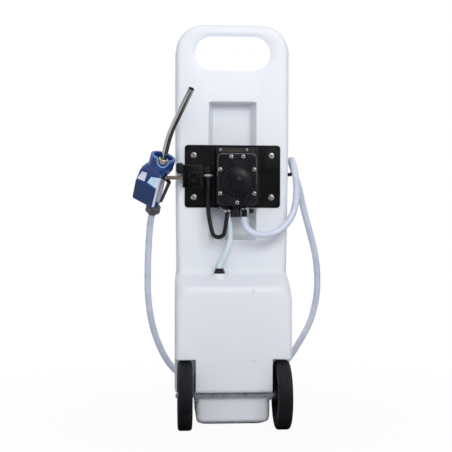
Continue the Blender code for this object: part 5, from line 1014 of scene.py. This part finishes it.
def head_outline(inset):
    """The pump head's outline, drawn in by an inset."""
    return rounded_rectangle((PUMP_X, PUMP_Z), HEAD_WIDTH - 2 * inset, HEAD_HEIGHT - 2 * inset,
                             HEAD_CORNER - inset, 10)


def head_block(name, levels):
    """A block of the head: levels are pairs of Y and inset."""
    return blank(name, loft([[(x, y, z) for x, z in head_outline(inset)] for y, inset in levels]))


def ribbed_dome():
    """The cover's round dome: a shallow crown ringed by radial ribs, with a small boss."""
    ribs, per_rib, root, rise = 24, 8, 0.0465, 0.0125
    count = ribs * per_rib
    rings = [
        (1.0, -0.3, 0.0), (1.0, 0.0, 0.0), (0.99, 0.1, 0.1), (0.965, 0.24, 0.5), (0.935, 0.36, 1.0),
        (0.9, 0.45, 1.0), (0.86, 0.53, 1.0), (0.82, 0.6, 0.9), (0.79, 0.65, 0.5), (0.77, 0.68, 0.1),
        (0.74, 0.72, 0.0), (0.69, 0.78, 0.0), (0.63, 0.84, 0.0), (0.56, 0.89, 0.0), (0.45, 0.94, 0.0),
        (0.34, 0.975, 0.0), (0.235, 1.0, 0.0),
    ]
    loops = []
    for radius_share, height_share, rib_share in rings:
        ring = []
        for index, (x, y) in enumerate(circle(root * radius_share, count)):
            step = index % per_rib
            crest = (1.0, 0.65, 0.05, 0.0, 0.0, 0.0, 0.05, 0.65)[step]
            ring.append((x, y, rise * height_share + 0.0018 * rib_share * crest))
        loops.append(ring)
    for radius, height in ((0.009, rise + 0.0004), (0.0074, rise + 0.0012), (0.0058, rise + 0.002),
                           (0.0042, rise + 0.0026), (0.0026, rise + 0.0029), (0.0012, rise + 0.003)):
        loops.append([(x, y, height) for x, y in circle(radius, count)])
    return loft(loops)


def make_head():
    """Body, cover with its dome, and the seven screws."""
    edge = 0.003
    body = head_block("pump_housing", [(BODY_FRONT_Y, 0.0006), (BODY_FRONT_Y + 0.0006, 0.0),
                                       (BODY_FRONT_Y + 0.006, 0.0), (BODY_FRONT_Y + 0.0064, 0.0012),
                                       (BODY_FRONT_Y + 0.0085, 0.0012), (BODY_FRONT_Y + 0.0089, 0.0),
                                       (BODY_BACK_Y - edge, 0.0), (BODY_BACK_Y, edge)])
    carve(body, rod_tool((PUMP_X, PUMP_Z), SHAFT_BORE, BODY_BACK_Y - 0.018, BODY_BACK_Y + OVERSHOOT))
    fit(body, MOULDED_BLACK, "pump_body", sharp=34)
    face = COVER_FRONT_Y
    cover = head_block("pump_face", [
        (COVER_BACK_Y, 0.0006), (COVER_BACK_Y - 0.0006, 0.0), (face + 0.0034, 0.0), (face + 0.0018, 0.0005),
        (face + 0.0006, 0.0016), (face, 0.0032), (face, 0.0045), (face + 0.0008, 0.0052),
    ])
    dome_place = at((PUMP_X, face + 0.0009, PUMP_Z - 0.004), FRONT)
    carve(cover, blank("dome_tool", ribbed_dome(), dome_place), operation="UNION")
    pads = []
    for x, z in SCREW_SPOTS:
        pads.append(moved(turned(mm((0, -2), (7.8, -2), (7.8, 0.7), (7.3, 1.1), (0, 1.1)), 32),
                          at((PUMP_X + x, face + 0.0009, PUMP_Z + z), FRONT)))
    fit(cover, MOULDED_BLACK, "pump_cover", sharp=34)
    add("cover_pads", merged(*pads), MOULDED_BLACK, sharp=34)
    for number, (x, z) in enumerate(SCREW_SPOTS, 1):
        button_screw(f"cover_button_screw_{number}", at((PUMP_X + x, face - GAP, PUMP_Z + z), FRONT), 1.0,
                     f"cover_screw_{number}")
    # A light grey line along the cover's top and upper left edge: a painted highlight.
    outline = head_outline(0.0009)
    top = [(x, face + 0.0021, z) for x, z in outline[11:33]]
    rim = [(top[0][0], top[0][1], PUMP_Z - 0.01)] + top + [(top[-1][0], top[-1][1], PUMP_Z + 0.012)]
    add("cover_rim_painted_highlight", sweep(rim, SEAM_RADIUS, 8), RIM_PAINTED_HIGHLIGHT, sharp=50)


make_head()


# Ports, clamps and elbow

def worm_clamp(name, place, inner, node):
    """A hose clamp: a thin band, its housing and its screw."""
    outer = inner + 0.0009
    band = turned([(inner, -0.004), (outer, -0.004), (outer + 0.0003, -0.0034), (outer + 0.0003, 0.0034),
                   (outer, 0.004), (inner, 0.004)], 48, closed=True)
    ends = [moved(turned(mm((0, 0), (2.4, 0), (2.8, 0.5), (2.8, 1.8), (2.2, 2.4), (0, 2.4)), 20),
                  at((x, -outer - 0.0012, 0), FRONT)) for x in (-0.0052, 0.0052)]
    house = prism(rounded_rectangle((0, 0), 0.007, 0.0078, 0.0012, 4), -outer - 0.003, -outer + 0.0008)
    screw = moved(turned(mm((0, -5.5), (1.8, -5.5), (1.8, 3.5), (3, 3.5), (3, 5.8), (2.4, 6.3), (0, 6.3)), 20),
                  at((0, -outer - 0.0012, 0), RIGHT))
    add(name, merged(band, house, screw), CLAMP_GREY, at(place, (0, 0, 55)), node=node, sharp=30)
    # The clamp's ends are paler than its band: a painted highlight.
    add(f"{name}_ends", merged(*ends), CLAMP_PAINTED_HIGHLIGHT, at(place), sharp=30)


def make_ports():
    """The ports under the pump, with the clamps and the adjusting cap."""
    top = PORT_TOP
    outlet = mm((0, 0), (9.3, 0), (9.3, 0.8), (8.5, 1.4), (8.5, 29.5), (8, 30.8), (0, 31))
    add("outlet_sleeve", turned(outlet, 40), MOULDED_BLACK, at((OUTLET[0], OUTLET[1], top), DOWN),
        node="outlet_port", sharp=30)
    worm_clamp("outlet_band", (OUTLET[0], OUTLET[1], top - 0.007), 0.0088, "outlet_clamp")
    # The band's tab is pale: a painted highlight.
    tab = rounded_rectangle((OUTLET[0] + 0.0098, top - 0.012), 0.005, 0.0185, 0.0014, 4)
    add("outlet_band_tab", prism(tab, OUTLET[1] - 0.0112, OUTLET[1] - 0.0092), CLAMP_PAINTED_HIGHLIGHT, edge=0.0004)
    case = rounded_rectangle((OUTLET[0] + 0.019, top - 0.014), 0.016, 0.013, 0.0032, 5)
    add("outlet_band_case", prism(case, OUTLET[1] - 0.01, OUTLET[1] + 0.004), MOULDED_BLACK, edge=0.0008)
    worm_clamp("bypass_band", (BYPASS[0], BYPASS[1], top - 0.014), 0.0064, "bypass_clamp")
    block = rounded_rectangle((BYPASS[0] + 0.0065 - 0.0175, BYPASS[1]), 0.035, 0.013, 0.006, 8)
    stub = moved(turned(mm((0, 0), (5.8, 0), (5.8, 11), (0, 11)), 32), at((BYPASS[0], BYPASS[1], top), DOWN))
    add("bypass_block", merged(prism(block, top - 0.009, top, "Z"), stub), MOULDED_BLACK, node="bypass_port",
        edge=0.0009, segments=3)
    button_screw("port_screw", at((BYPASS[0] - 0.0195, BYPASS[1] - 0.0066, top - 0.0045), FRONT), 0.6)
    suction = mm((0, 0), (8, 0), (8, 3), (7.4, 3.6), (8, 6), (8, 9.2), (7.2, 10), (0, 10))
    add("suction_sleeve", turned(suction, 40), MOULDED_BLACK, at((SUCTION[0], SUCTION[1], top), DOWN),
        node="suction_port", sharp=30)
    cap = mm((0, 0), (14.3, 0), (15, 0.6), (15, 5), (14.5, 5.5), (14.5, 6.5), (15, 7), (15, 30.5), (14.6, 31.5),
             (13.6, 32), (6, 32), (5.5, 31.2), (0, 31.2))
    add("adjusting_cap", turned(cap, 56), MOULDED_BLACK, at((0.005, -0.1335, top), DOWN), node="bypass_cap",
        sharp=30)


def make_elbow():
    """The elbow for the black hose, with its flange, nut and barb."""
    (x, front), z = ELBOW_END[:2], 0.762
    drop, pipe, nut_height = 0.0115, 0.0085, 0.0085
    path = bend((x, PLATE_BACK_Y, z), (x, front, z), (x, front, z - drop), pipe)
    flange = moved(turned(mm((0, 0), (12, 0), (12, 3), (11.2, 4), (0, 4)), 40),
                   at((x, PLATE_FRONT_Y - GAP, z), FRONT))
    barb = mm((0, 0), (5, 0), (5, 34.5), (0, 34.5))
    tail = moved(turned(barb, 32), at((x, front, z - drop), DOWN))
    add("elbow_body", merged(sweep(path, pipe, 32), flange, tail), MOULDED_BLACK, node="return_elbow",
        sharp=32)
    nut_place = at((x, front, z - drop - GAP - nut_height))
    nut = blank("elbow_hex_nut", hexagon(0.013, 0, nut_height, 0.001), nut_place)
    carve(nut, blank("nut_tool", turned(mm((0, -4), (5.3, -4), (5.3, 12), (0, 12)), 32), nut_place))
    fit(nut, CLAMP_GREY, "elbow_nut", edge=0.0004)
    # A pale ring under the nut, coloured as a painted highlight that reads as a bright bar.
    collar = mm((8.8, 0), (12.8, 0), (13.6, 0.6), (13.6, 3.4), (12.8, 4), (8.8, 4))
    add("elbow_nut_collar", turned(collar, 40, closed=True), CLAMP_PAINTED_HIGHLIGHT,
        at((x, front, z - drop - GAP - 0.0052)), sharp=30)


make_ports()
make_elbow()


# Switch and nozzle holder

def arched(width, bottom, height, middle, inset):
    """A D-shaped outline: square at the foot and round at the top."""
    half = width / 2 - inset
    spring = bottom + height - width / 2
    foot = [(middle - half, bottom + inset), (middle + half, bottom + inset)]
    return foot + arc((middle, spring), half, 0, 180, 24)


def make_holder():
    """The holder's bent sheet with its bumper and rod, and the switch on it."""
    left, right, sheet = -0.15, -0.089, 0.0022
    back = PLATE_FRONT_Y - GAP
    front = back - sheet
    outline = [
        (right, back), (left, back), (left, back - 0.04), (left + sheet, back - 0.04), (left + sheet, front),
        (right, front),
    ]
    add("holder_sheet", prism(outline, 0.712, 0.779, "Z"), POWDER_BLACK, node="holder_bracket", edge=0.0006)
    # A grey line along the sheet's top front edge: a painted highlight.
    line = sweep([(-0.147, front - 0.0001, 0.7783), (-0.0915, front - 0.0001, 0.7783)], LINE_RADIUS, 8)
    add("holder_top_painted_highlight", line, LINE_AND_HIGHLIGHT_GREY, slot="plate_black", sharp=50)
    seat = left - GAP
    middle_y, middle_z, deep, high = -0.108, 0.768, 0.03, 0.031
    loops = []
    for x, inset in ((seat - 0.019, 0.0075), (seat - 0.0186, 0.005), (seat - 0.017, 0.0022),
                     (seat - 0.014, 0.0006), (seat - 0.01, 0.0), (seat - 0.0006, 0.0), (seat, 0.0006)):
        ring = rounded_rectangle((middle_y, middle_z), deep - 2 * inset, high - 2 * inset,
                                 max(0.009 - inset, 0.0012))
        loops.append([(x, y, z) for y, z in ring])
    add("cradle_bumper", loft(loops), CRADLE_RUBBER, node="nozzle_cradle", sharp=40)
    reach = seat + 0.202
    rod = [(0, 0), (0.0088, 0), (0.0088, 0.0045), (0.008, 0.0055), (0.0055, 0.0055), (0.0055, reach - 0.0055),
           (0.0051, reach - 0.0024), (0.0039, reach - 0.0006), (0.0024, reach), (0, reach)]
    add("holder_rod", turned(rod, 32), ROD_BROWN, at((seat, -0.105, 0.74), LEFT), node="hook_rod", sharp=32)
    switch_x, bottom, tall, wide = -0.1178, 0.719, 0.044, 0.039
    base = front - GAP
    face = base - 0.01
    loops = []
    for y, inset in ((face, 0.0024), (face + 0.0004, 0.0012), (face + 0.0014, 0.0003), (face + 0.0024, 0.0),
                     (base, 0.0)):
        loops.append([(x, y, z) for x, z in arched(wide, bottom, tall, switch_x, inset)])
    housing = blank("switch_case", loft(loops))
    window_z = bottom + tall * 0.45
    window = rounded_rectangle((switch_x, window_z), 0.019, 0.026, 0.0012, 3)
    window = prism(window, face - OVERSHOOT, face + 0.0075)
    carve(housing, blank("window_tool", window))
    fit(housing, SWITCH_BLACK, "switch_housing", edge=0.0003, sharp=34)
    arch = [(x, face - 0.0004, z) for x, z in arc((switch_x, 0.7435), 0.014, -10, 190, 28)]
    add("switch_arch_line", sweep(arch, LINE_RADIUS, 8), LINE_AND_HIGHLIGHT_GREY)
    half, proud, inner = 0.0118, 0.0024, 0.0055
    rocker = [(-proud, 0.0), (-proud * 1.1, half * 0.5), (-proud * 1.4, half), (inner * 0.35, half),
              (inner, half * 0.35), (inner, -half * 0.35), (inner * 0.35, -half), (-proud * 1.4, -half),
              (-proud * 1.1, -half * 0.5)]
    add("switch_paddle", prism(rocker, -0.0089, 0.0089, "X"), SWITCH_BLACK, at((switch_x, face, window_z)),
        node="switch_rocker", body="rocker", edge=0.0004)


def make_shoulder_fitting():
    """The fitting and nut where the suction hose enters the tank."""
    flange = mm((8.3, 411), (11, 411), (11, 456.5), (15.8, 456.5), (16.5, 457.1), (16.5, 462.4), (15.9, 463),
                (8.3, 463))
    add("shoulder_fitting", turned(flange, 48, closed=True), MOULDED_BLACK, at((FITTING[0], FITTING[1], 0)),
        node="suction_fitting", sharp=30)
    count = 72
    loops = []
    for height, radius, hollow in ((0.0, 0.013, 0.4), (0.0007, 0.0135, 1.0), (0.0062, 0.0135, 1.0),
                                   (0.0072, 0.0126, 0.6), (0.008, 0.0112, 0.0)):
        ring = []
        for index, (x, y) in enumerate(circle(1.0, count)):
            wave = 0.0007 * hollow * (0.5 + 0.5 * math.cos(2 * math.pi * 12 * index / count))
            ring.append((x * (radius - wave), y * (radius - wave), height))
        loops.append(ring)
    place = at((FITTING[0], FITTING[1], 0.4633))
    nut = blank("shoulder_nut", loft(loops), place)
    bore = turned(mm((0, -4), (8.3, -4), (8.3, 12), (0, 12)), 40)
    carve(nut, blank("bore_tool", bore, place))
    fit(nut, MOULDED_BLACK, "suction_nut", sharp=34)


def make_hose_hook():
    """The hook at the tank's right side."""
    half = half_profile()
    side = max(value_at(half, height) for height in (0.74, 0.755, 0.77)) + GAP
    y, z = -0.006, 0.755
    base = moved(turned(mm((0, 0), (15, 0), (15, 2.6), (13.8, 3.8), (12, 4), (0, 4)), 40),
                 at((side, y, z), RIGHT))
    path = bend((side + 0.002, y, z), (side + 0.017, y, z), (side + 0.033, y, z + 0.017), 0.0055)
    tip = sweep(path, [0.0055] * (len(path) - 1) + [0.0052], 24)
    add("side_hook", merged(base, tip), MOULDED_BLACK, node="hose_hook", sharp=40)


make_holder()
make_shoulder_fitting()
make_hose_hook()


# Nozzle, in its own frame: +Z to the spout, +X to the trigger

SECTION_STEPS = 12
HEAD_LEFT, HEAD_RIGHT = -0.0385, 0.0415
NOTCH_MIDDLE, NOTCH_RADIUS, NOTCH_TURN = 0.187, 0.0165, 33.0
TRIGGER_PIN = (0.017, 0.137)


def nozzle_section(height, left, right, half, corner):
    """One section of the nozzle: a rectangle with elliptical corners."""
    corner_x = min(corner, (right - left) / 2 - GAP)
    corner_y = min(corner, half - GAP)
    radii = (corner_x, corner_y)
    outline = arc((right - corner_x, -half + corner_y), radii, -90, 0, SECTION_STEPS)
    outline += arc((right - corner_x, half - corner_y), radii, 0, 90, SECTION_STEPS)
    outline += arc((left + corner_x, half - corner_y), radii, 90, 180, SECTION_STEPS)
    outline += arc((left + corner_x, -half + corner_y), radii, 180, 270, SECTION_STEPS)
    return [(x, y, height) for x, y in outline]


def eased(rows, spans):
    """Rows of numbers with smooth steps between the rows whose span count is above one."""
    result = []
    for (first, second), count in zip(zip(rows, rows[1:]), spans):
        for step in range(count):
            share = step / count
            ease = share * share * (3 - 2 * share)
            height = first[0] + (second[0] - first[0]) * share
            result.append((height, *[a + (b - a) * ease for a, b in zip(first[1:], second[1:])]))
    return result + [rows[-1]]


def block_strip(side):
    """A pale strip on the block's curved corner beside the trigger, coloured as a painted highlight."""
    loops = []
    for height, right, half, corner in mm((31.2, 13.1, 20, 6), (90.5, 15, 20, 6), (119, 16.8, 17.2, 8.8),
                                          (127, 19.2, 17.1, 10)):
        middle = (right - corner, -half + corner)
        outer = arc(middle, corner + 0.0007, -52, 0, 6) + [(right + 0.0007, -0.0101)]
        inner = [(right - 0.001, -0.0101)] + arc(middle, corner - 0.001, 0, -52, 6)
        loops.append([(x, -side * y, height) for x, y in outer + inner])
    return loft(loops)


def slope_depth(x, height):
    """How far the nozzle's side stands from its middle plane on the slope above the block."""
    right = value_at(mm((15.1, 92.5), (16.8, 119), (22.5, 134)), height)
    half = value_at(mm((19.8, 92.5), (17.2, 119), (17, 134)), height)
    corner = value_at(mm((6.2, 92.5), (8.8, 119), (12, 134)), height)
    over = min(max(0.0, x - (right - corner)), corner)
    return half - corner + math.sqrt(corner * corner - over * over)


def slope_panel(corners, side):
    """A thin blank panel laid on the slope above the block, from its upper and lower corners."""
    steps = 10
    upper_left, upper_right, lower_right, lower_left = (Vector(corner) for corner in corners)
    loops = []
    for row in range(steps + 1):
        start = upper_left.lerp(lower_left, row / steps)
        end = upper_right.lerp(lower_right, row / steps)
        line = [start.lerp(end, step / steps) for step in range(steps + 1)]
        outer = [(p.x, side * (slope_depth(p.x, p.y) + 0.0007), p.y) for p in line]
        inner = [(p.x, side * (slope_depth(p.x, p.y) - 0.0006), p.y) for p in reversed(line)]
        loops.append(outer + inner)
    return loft(loops)


def channel_highlight_strip(side):
    """A pale strip on one inner wall of the trigger's channel, coloured as a painted highlight."""
    outline = mm((-2.6, 40.4), (13.4, 40.4), (15.2, 90.5), (16.8, 118), (9.7, 118), (-2.6, 100.8))
    return prism(outline, min(side * 0.0085, side * 0.0098), max(side * 0.0085, side * 0.0098))


def make_nozzle():
    """The nozzle's body with its notched cup, trigger channel and blank panels."""
    rows = mm((28.5, -64, 11, 18, 6), (29.1, -65.3, 12.3, 19.3, 6), (30.5, -66, 13, 20, 6),
              (90.5, -67, 15, 20, 6), (92.5, -66.9, 15.1, 19.8, 6.2), (119, -64.3, 16.8, 17.2, 8.8),
              (121.5, -64, 17.2, 17, 9.2), (134, -60, 22.5, 17, 12), (147, -50.3, 30, 24, 18),
              (160, -40.5, 39.5, 29, 38), (190.5, -38.5, 41.5, 31, 40), (192.1, -38.2, 41.2, 30.7, 40),
              (193, -37.4, 40.4, 29.9, 40))
    spans = (1, 1, 4, 1, 3, 1, 4, 4, 4, 4, 1, 1)
    body = blank("nozzle_shell", loft([nozzle_section(*row) for row in eased(rows, spans)]), NOZZLE)
    cup = loft([nozzle_section(*row) for row in mm((171, -26.2, 29.2, 18.7, 27.7), (171.7, -27, 30, 19.5, 28.5),
                                                   (191.2, -29, 32, 21.5, 30.5), (193.4, -30, 33, 22.5, 31.5),
                                                   (197, -33, 36, 25.5, 34.5))])
    notch_turn = arc((0, NOTCH_MIDDLE), NOTCH_RADIUS, 180, 360, 28)
    notch = [(-NOTCH_RADIUS, 0.197)] + notch_turn + [(NOTCH_RADIUS, 0.197)]
    notch_place = at((NOZZLE_AXIS_X, 0, 0), (0, 0, NOTCH_TURN))
    channel = prism(mm((-3, 40), (54, 40), (54, 147), (9.3, 147), (9.3, 119), (-3, 101)), -0.0095, 0.0095)
    hole = prism(circle(0.0028, 24, TRIGGER_PIN), -0.05, 0.05)
    carve(
        body, blank("cup_tool", cup, NOZZLE),
        blank("notch_tool", prism(notch, -0.05, 0.0), NOZZLE @ notch_place),
        blank("channel_tool", channel, NOZZLE), blank("pin_tool", hole, NOZZLE)
    )
    fit(body, NOZZLE_BLUE, "nozzle_body", body="nozzle", sharp=38)
    # A pale bead along the notch's inner edge, coloured as a painted highlight.
    middle_x, across = (HEAD_LEFT + HEAD_RIGHT) / 2, (HEAD_RIGHT - HEAD_LEFT) / 2
    bead = []
    for u, z in [(-NOTCH_RADIUS, 0.1915)] + notch_turn + [(NOTCH_RADIUS, 0.1915)]:
        deep = 0.031 - max(0.0, 0.1905 - z) * 0.0656
        reach = 0.01
        while True:
            spot = notch_place @ Vector((u, -reach, 0))
            if ((spot.x - middle_x) / across) ** 2 + (spot.y / deep) ** 2 >= 1 or reach > 0.05:
                break
            reach += 0.0002
        spot = notch_place @ Vector((u, 0.001 - reach, 0))
        bead.append((spot.x, spot.y, z))
    add("nozzle_notch_painted_highlight", sweep(bead, 0.0013, 12), NOTCH_PAINTED_HIGHLIGHT, NOZZLE, body="nozzle", sharp=50)
    pads = []
    for side in (-1, 1):
        outline = rounded_rectangle((-0.027, 0.0612), 0.0755, 0.059, 0.003)
        near, far = side * 0.0194, side * 0.0208
        pads.append(prism(outline, min(near, far), max(near, far)))
    add("nozzle_grip_pads", merged(*pads), GRIP_NAVY, NOZZLE, body="nozzle", edge=0.0006, segments=3)
    lavender = [
        slope_panel(mm((-50, 124.3), (-31.5, 127.2), (-33.5, 99), (-62, 96.8)), side) for side in (-1, 1)
    ]
    add("nozzle_blank_panel_1", merged(*lavender), LABEL_LAVENDER, NOZZLE, body="nozzle")
    pale = [slope_panel(mm((-13.6, 121.7), (18, 131), (12, 95), (-22.7, 100)), side) for side in (-1, 1)]
    add("nozzle_blank_panel_2", merged(*pale), LABEL_PALE, NOZZLE, body="nozzle")
    # The pale lavender strips on the block's corner and in the trigger's channel are painted highlights.
    add("nozzle_painted_highlight_strips", merged(block_strip(-1), block_strip(1), channel_highlight_strip(-1), channel_highlight_strip(1)),
        PAINTED_HIGHLIGHT_LAVENDER, NOZZLE, body="nozzle", sharp=50)
    pin = prism(circle(0.0025, 24, TRIGGER_PIN), -0.0164, 0.0164)
    add("trigger_axle", pin, STAINLESS, NOZZLE, node="trigger_pin", body="nozzle", edge=0.0004)


def make_trigger():
    """The bent lever with its eye round the pin."""
    pin = Vector(TRIGGER_PIN)
    knee, end = Vector((0.042, 0.123)) - pin, Vector((0.026, 0.05)) - pin
    thickness, eye, half = 0.003, 0.0062, 0.008
    down = (end - knee).normalized()
    side = Vector((-down.y, down.x)) * thickness / 2
    outer_knee, outer_end = knee + side, end + side
    inner_knee, inner_end = knee - side - Vector((thickness / 2, 0)), end - side
    outline = [
        tuple(inner_end), tuple(outer_end), tuple(outer_knee),
        (outer_knee.x - thickness, outer_knee.y + thickness)
    ]
    outline += arc((0, 0), eye, 20, 270, 24)
    outline.append(tuple(inner_knee))
    place = NOZZLE @ Matrix.Translation((pin.x, 0, pin.y))
    lever = blank("trigger_lever", prism(outline, -half, half), place)
    carve(lever, blank("eye_tool", prism(circle(0.0027, 24), -0.02, 0.02), place))
    fit(lever, MOULDED_BLACK, "nozzle_trigger", body="trigger", edge=0.0009, segments=3)


def make_spout():
    """The bent spout with its open tip, its collar and the swivel at the body's foot."""
    start, corner, tip = (NOZZLE_AXIS_X, 0, 0.1718), (0.007, 0, 0.268), (0.048, 0, 0.423)
    path = bend(start, corner, tip, 0.034, 14)
    tip_v, corner_v = Vector(tip), Vector(corner)
    along = (tip_v - corner_v).normalized()
    radii = [0.0095] * len(path)
    path = path[:-1] + [tip_v - along * 0.0012, tip_v]
    radii = radii[:-1] + [0.0095, 0.0089]
    spout = blank("spout_tube", sweep(path, radii, 48), NOZZLE)
    bore = sweep([tip_v - along * 0.045, tip_v + along * 0.004], 0.0082, 48)
    carve(spout, blank("spout_tool", bore, NOZZLE))
    fit(spout, STAINLESS, "nozzle_spout", body="nozzle", sharp=34)
    rise = (corner_v - Vector(start)).normalized()
    slant = math.degrees(math.atan2(rise.x, rise.z))
    lift = 0.015 * math.sin(math.radians(slant)) + GAP
    collar = mm((10.1, 0), (14.2, 0), (15, 0.8), (15, 5.4), (14, 6), (14, 7.2), (15, 7.8), (15, 12.2),
                (14.2, 13.4), (12.8, 14), (10.1, 14))
    place = NOZZLE @ at((NOZZLE_AXIS_X + rise.x * lift, 0, 0.171 + lift), (0, slant, 0))
    add("spout_gland", turned(collar, 56, closed=True), COLLAR_WARM, place, node="spout_collar", body="nozzle",
        sharp=30)
    swivel = mm((0, 0), (13.4, 0), (14, 0.7), (14, 7), (20, 7), (21.6, 7.6), (22.5, 9.2), (22.5, 14),
                (21.6, 14.7), (21.6, 16), (22.5, 16.7), (22.5, 25.5), (21.6, 27), (20.5, 27.5), (0, 27.5))
    add("swivel_joint", turned(swivel, 64), SWIVEL_GREY, NOZZLE @ at((NOZZLE_AXIS_X, 0, 0.0007)),
        node="nozzle_swivel", body="swivel", sharp=30)


make_nozzle()
make_trigger()
make_spout()


# Floor, light and backdrop

def add_lamp(name, place, target, size, power, color=(1, 1, 1), mirrored=False):
    """A soft square lamp that faces a point; shiny pieces show it only if mirrored."""
    data = bpy.data.lights.new(name, "AREA")
    data.size = size
    data.energy = power
    data.color = color
    lamp = linked(name, data)
    lamp.visible_glossy = mirrored
    facing = (Vector(target) - Vector(place)).to_track_quat("-Z", "Y")
    lamp.matrix_world = Matrix.Translation(place) @ facing.to_matrix().to_4x4()


def white_for_camera(tree, shader, strength):
    """Mixes white light into a shader for camera rays, all of it far from the object."""
    distance = add_node(tree, "VectorMath", {0: object_place(tree)}, operation="LENGTH").outputs["Value"]
    far = add_range(tree, distance, 0.35, 1.3, strength, 1.0)
    share = add_math(tree, "MULTIPLY", add_node(tree, "LightPath").outputs["Is Camera Ray"], far)
    glow = add_node(tree, "Emission").outputs["Emission"]
    return add_node(tree, "MixShader", {"Fac": share, 1: shader, 2: glow}).outputs["Shader"]


def make_floor():
    """A pale floor, which is white for the camera and darker at its sides in reflections."""
    reach, white_share = 14.0, 0.95
    corners = ((-reach, -reach, 0), (reach, -reach, 0), (reach, reach, 0), (-reach, reach, 0))
    bm = bmesh.new()
    bm.faces.new([bm.verts.new(corner) for corner in corners])
    floor = blank("studio_floor", bm)
    pale = bpy.data.materials.new("studio_pale")
    pale.use_nodes = True
    tree = pale.node_tree
    shader = tree.nodes["Principled BSDF"]
    mirror = add_node(tree, "LightPath").outputs["Is Glossy Ray"]
    across = add_node(tree, "SeparateXYZ", {"Vector": object_place(tree)}).outputs["X"]
    left = add_range(tree, across, -0.62, -1.0, 0.0, 1.0)
    right = add_range(tree, across, 0.25, 0.9, 0.0, 0.45)
    reflected = add_mix(tree, add_math(tree, "MAXIMUM", left, right), (0.06, 0.057, 0.06), (1.0, 1.0, 1.0))
    feed(tree, shader.inputs["Base Color"], add_mix(tree, mirror, (0.6, 0.6, 0.61), reflected))
    feed(tree, shader.inputs["Roughness"], 0.9)
    feed(tree, shader.inputs["Specular IOR Level"], 0.1)
    seen = white_for_camera(tree, shader.outputs["BSDF"], white_share)
    feed(tree, tree.nodes["Material Output"].inputs["Surface"], seen)
    floor.data.materials.append(pale)


def make_room():
    """A studio that is white for the camera, and dark in front in reflections."""
    world = bpy.data.worlds.new("studio")
    bpy.context.scene.world = world
    world.use_nodes = True
    tree = world.node_tree
    where = add_node(tree, "TexCoord").outputs["Generated"]
    split = add_node(tree, "SeparateXYZ", {"Vector": where}).outputs
    path = add_node(tree, "LightPath").outputs
    depth = add_range(tree, split["Y"], -0.35, 0.3, 0.0, 1.0)
    above = add_range(tree, split["Z"], 0.8, 0.97, 0.0, 0.9)
    mirrored = add_mix(tree, add_math(tree, "MAXIMUM", depth, above), (0.02, 0.021, 0.025), (0.93, 0.94, 0.98))
    bounced = add_mix(tree, depth, (0.17, 0.172, 0.18), (0.55, 0.56, 0.59))
    room = add_mix(tree, path["Is Glossy Ray"], bounced, mirrored)
    seen = add_mix(tree, path["Is Camera Ray"], room, (1.0, 1.0, 1.0))
    feed(tree, tree.nodes["Background"].inputs["Color"], seen)


def light_up():
    """Lamps round the object, and small ones in the hand hole, whose lining is white in the photo."""
    middle = (0.0, 0.0, 0.65)
    add_lamp("key_lamp", (0.95, -2.45, 2.0), middle, 1.3, 26.0, mirrored=True)
    add_lamp("fill_lamp", (-1.8, -2.0, 1.6), middle, 1.6, 8.0)
    add_lamp("front_lamp", (-0.1, -2.8, 1.7), middle, 1.2, 30.0)
    add_lamp("top_lamp", (0.0, -1.0, 2.5), (0.0, -0.1, 0.5), 1.2, 6.0, (1.0, 0.945, 1.0))
    add_lamp("back_lamp", (-0.5, 1.5, 0.25), (0.0, 0.0, 1.1), 1.0, 20.0)
    for side in (-0.06, 0.0, 0.06):
        add_lamp("hole_lamp", (side, 0.125, 1.118), (side * 1.6, -1.0, 1.2), 0.055, 0.22)


make_floor()
make_room()
light_up()
bpy.context.scene.view_settings.view_transform = "Standard"
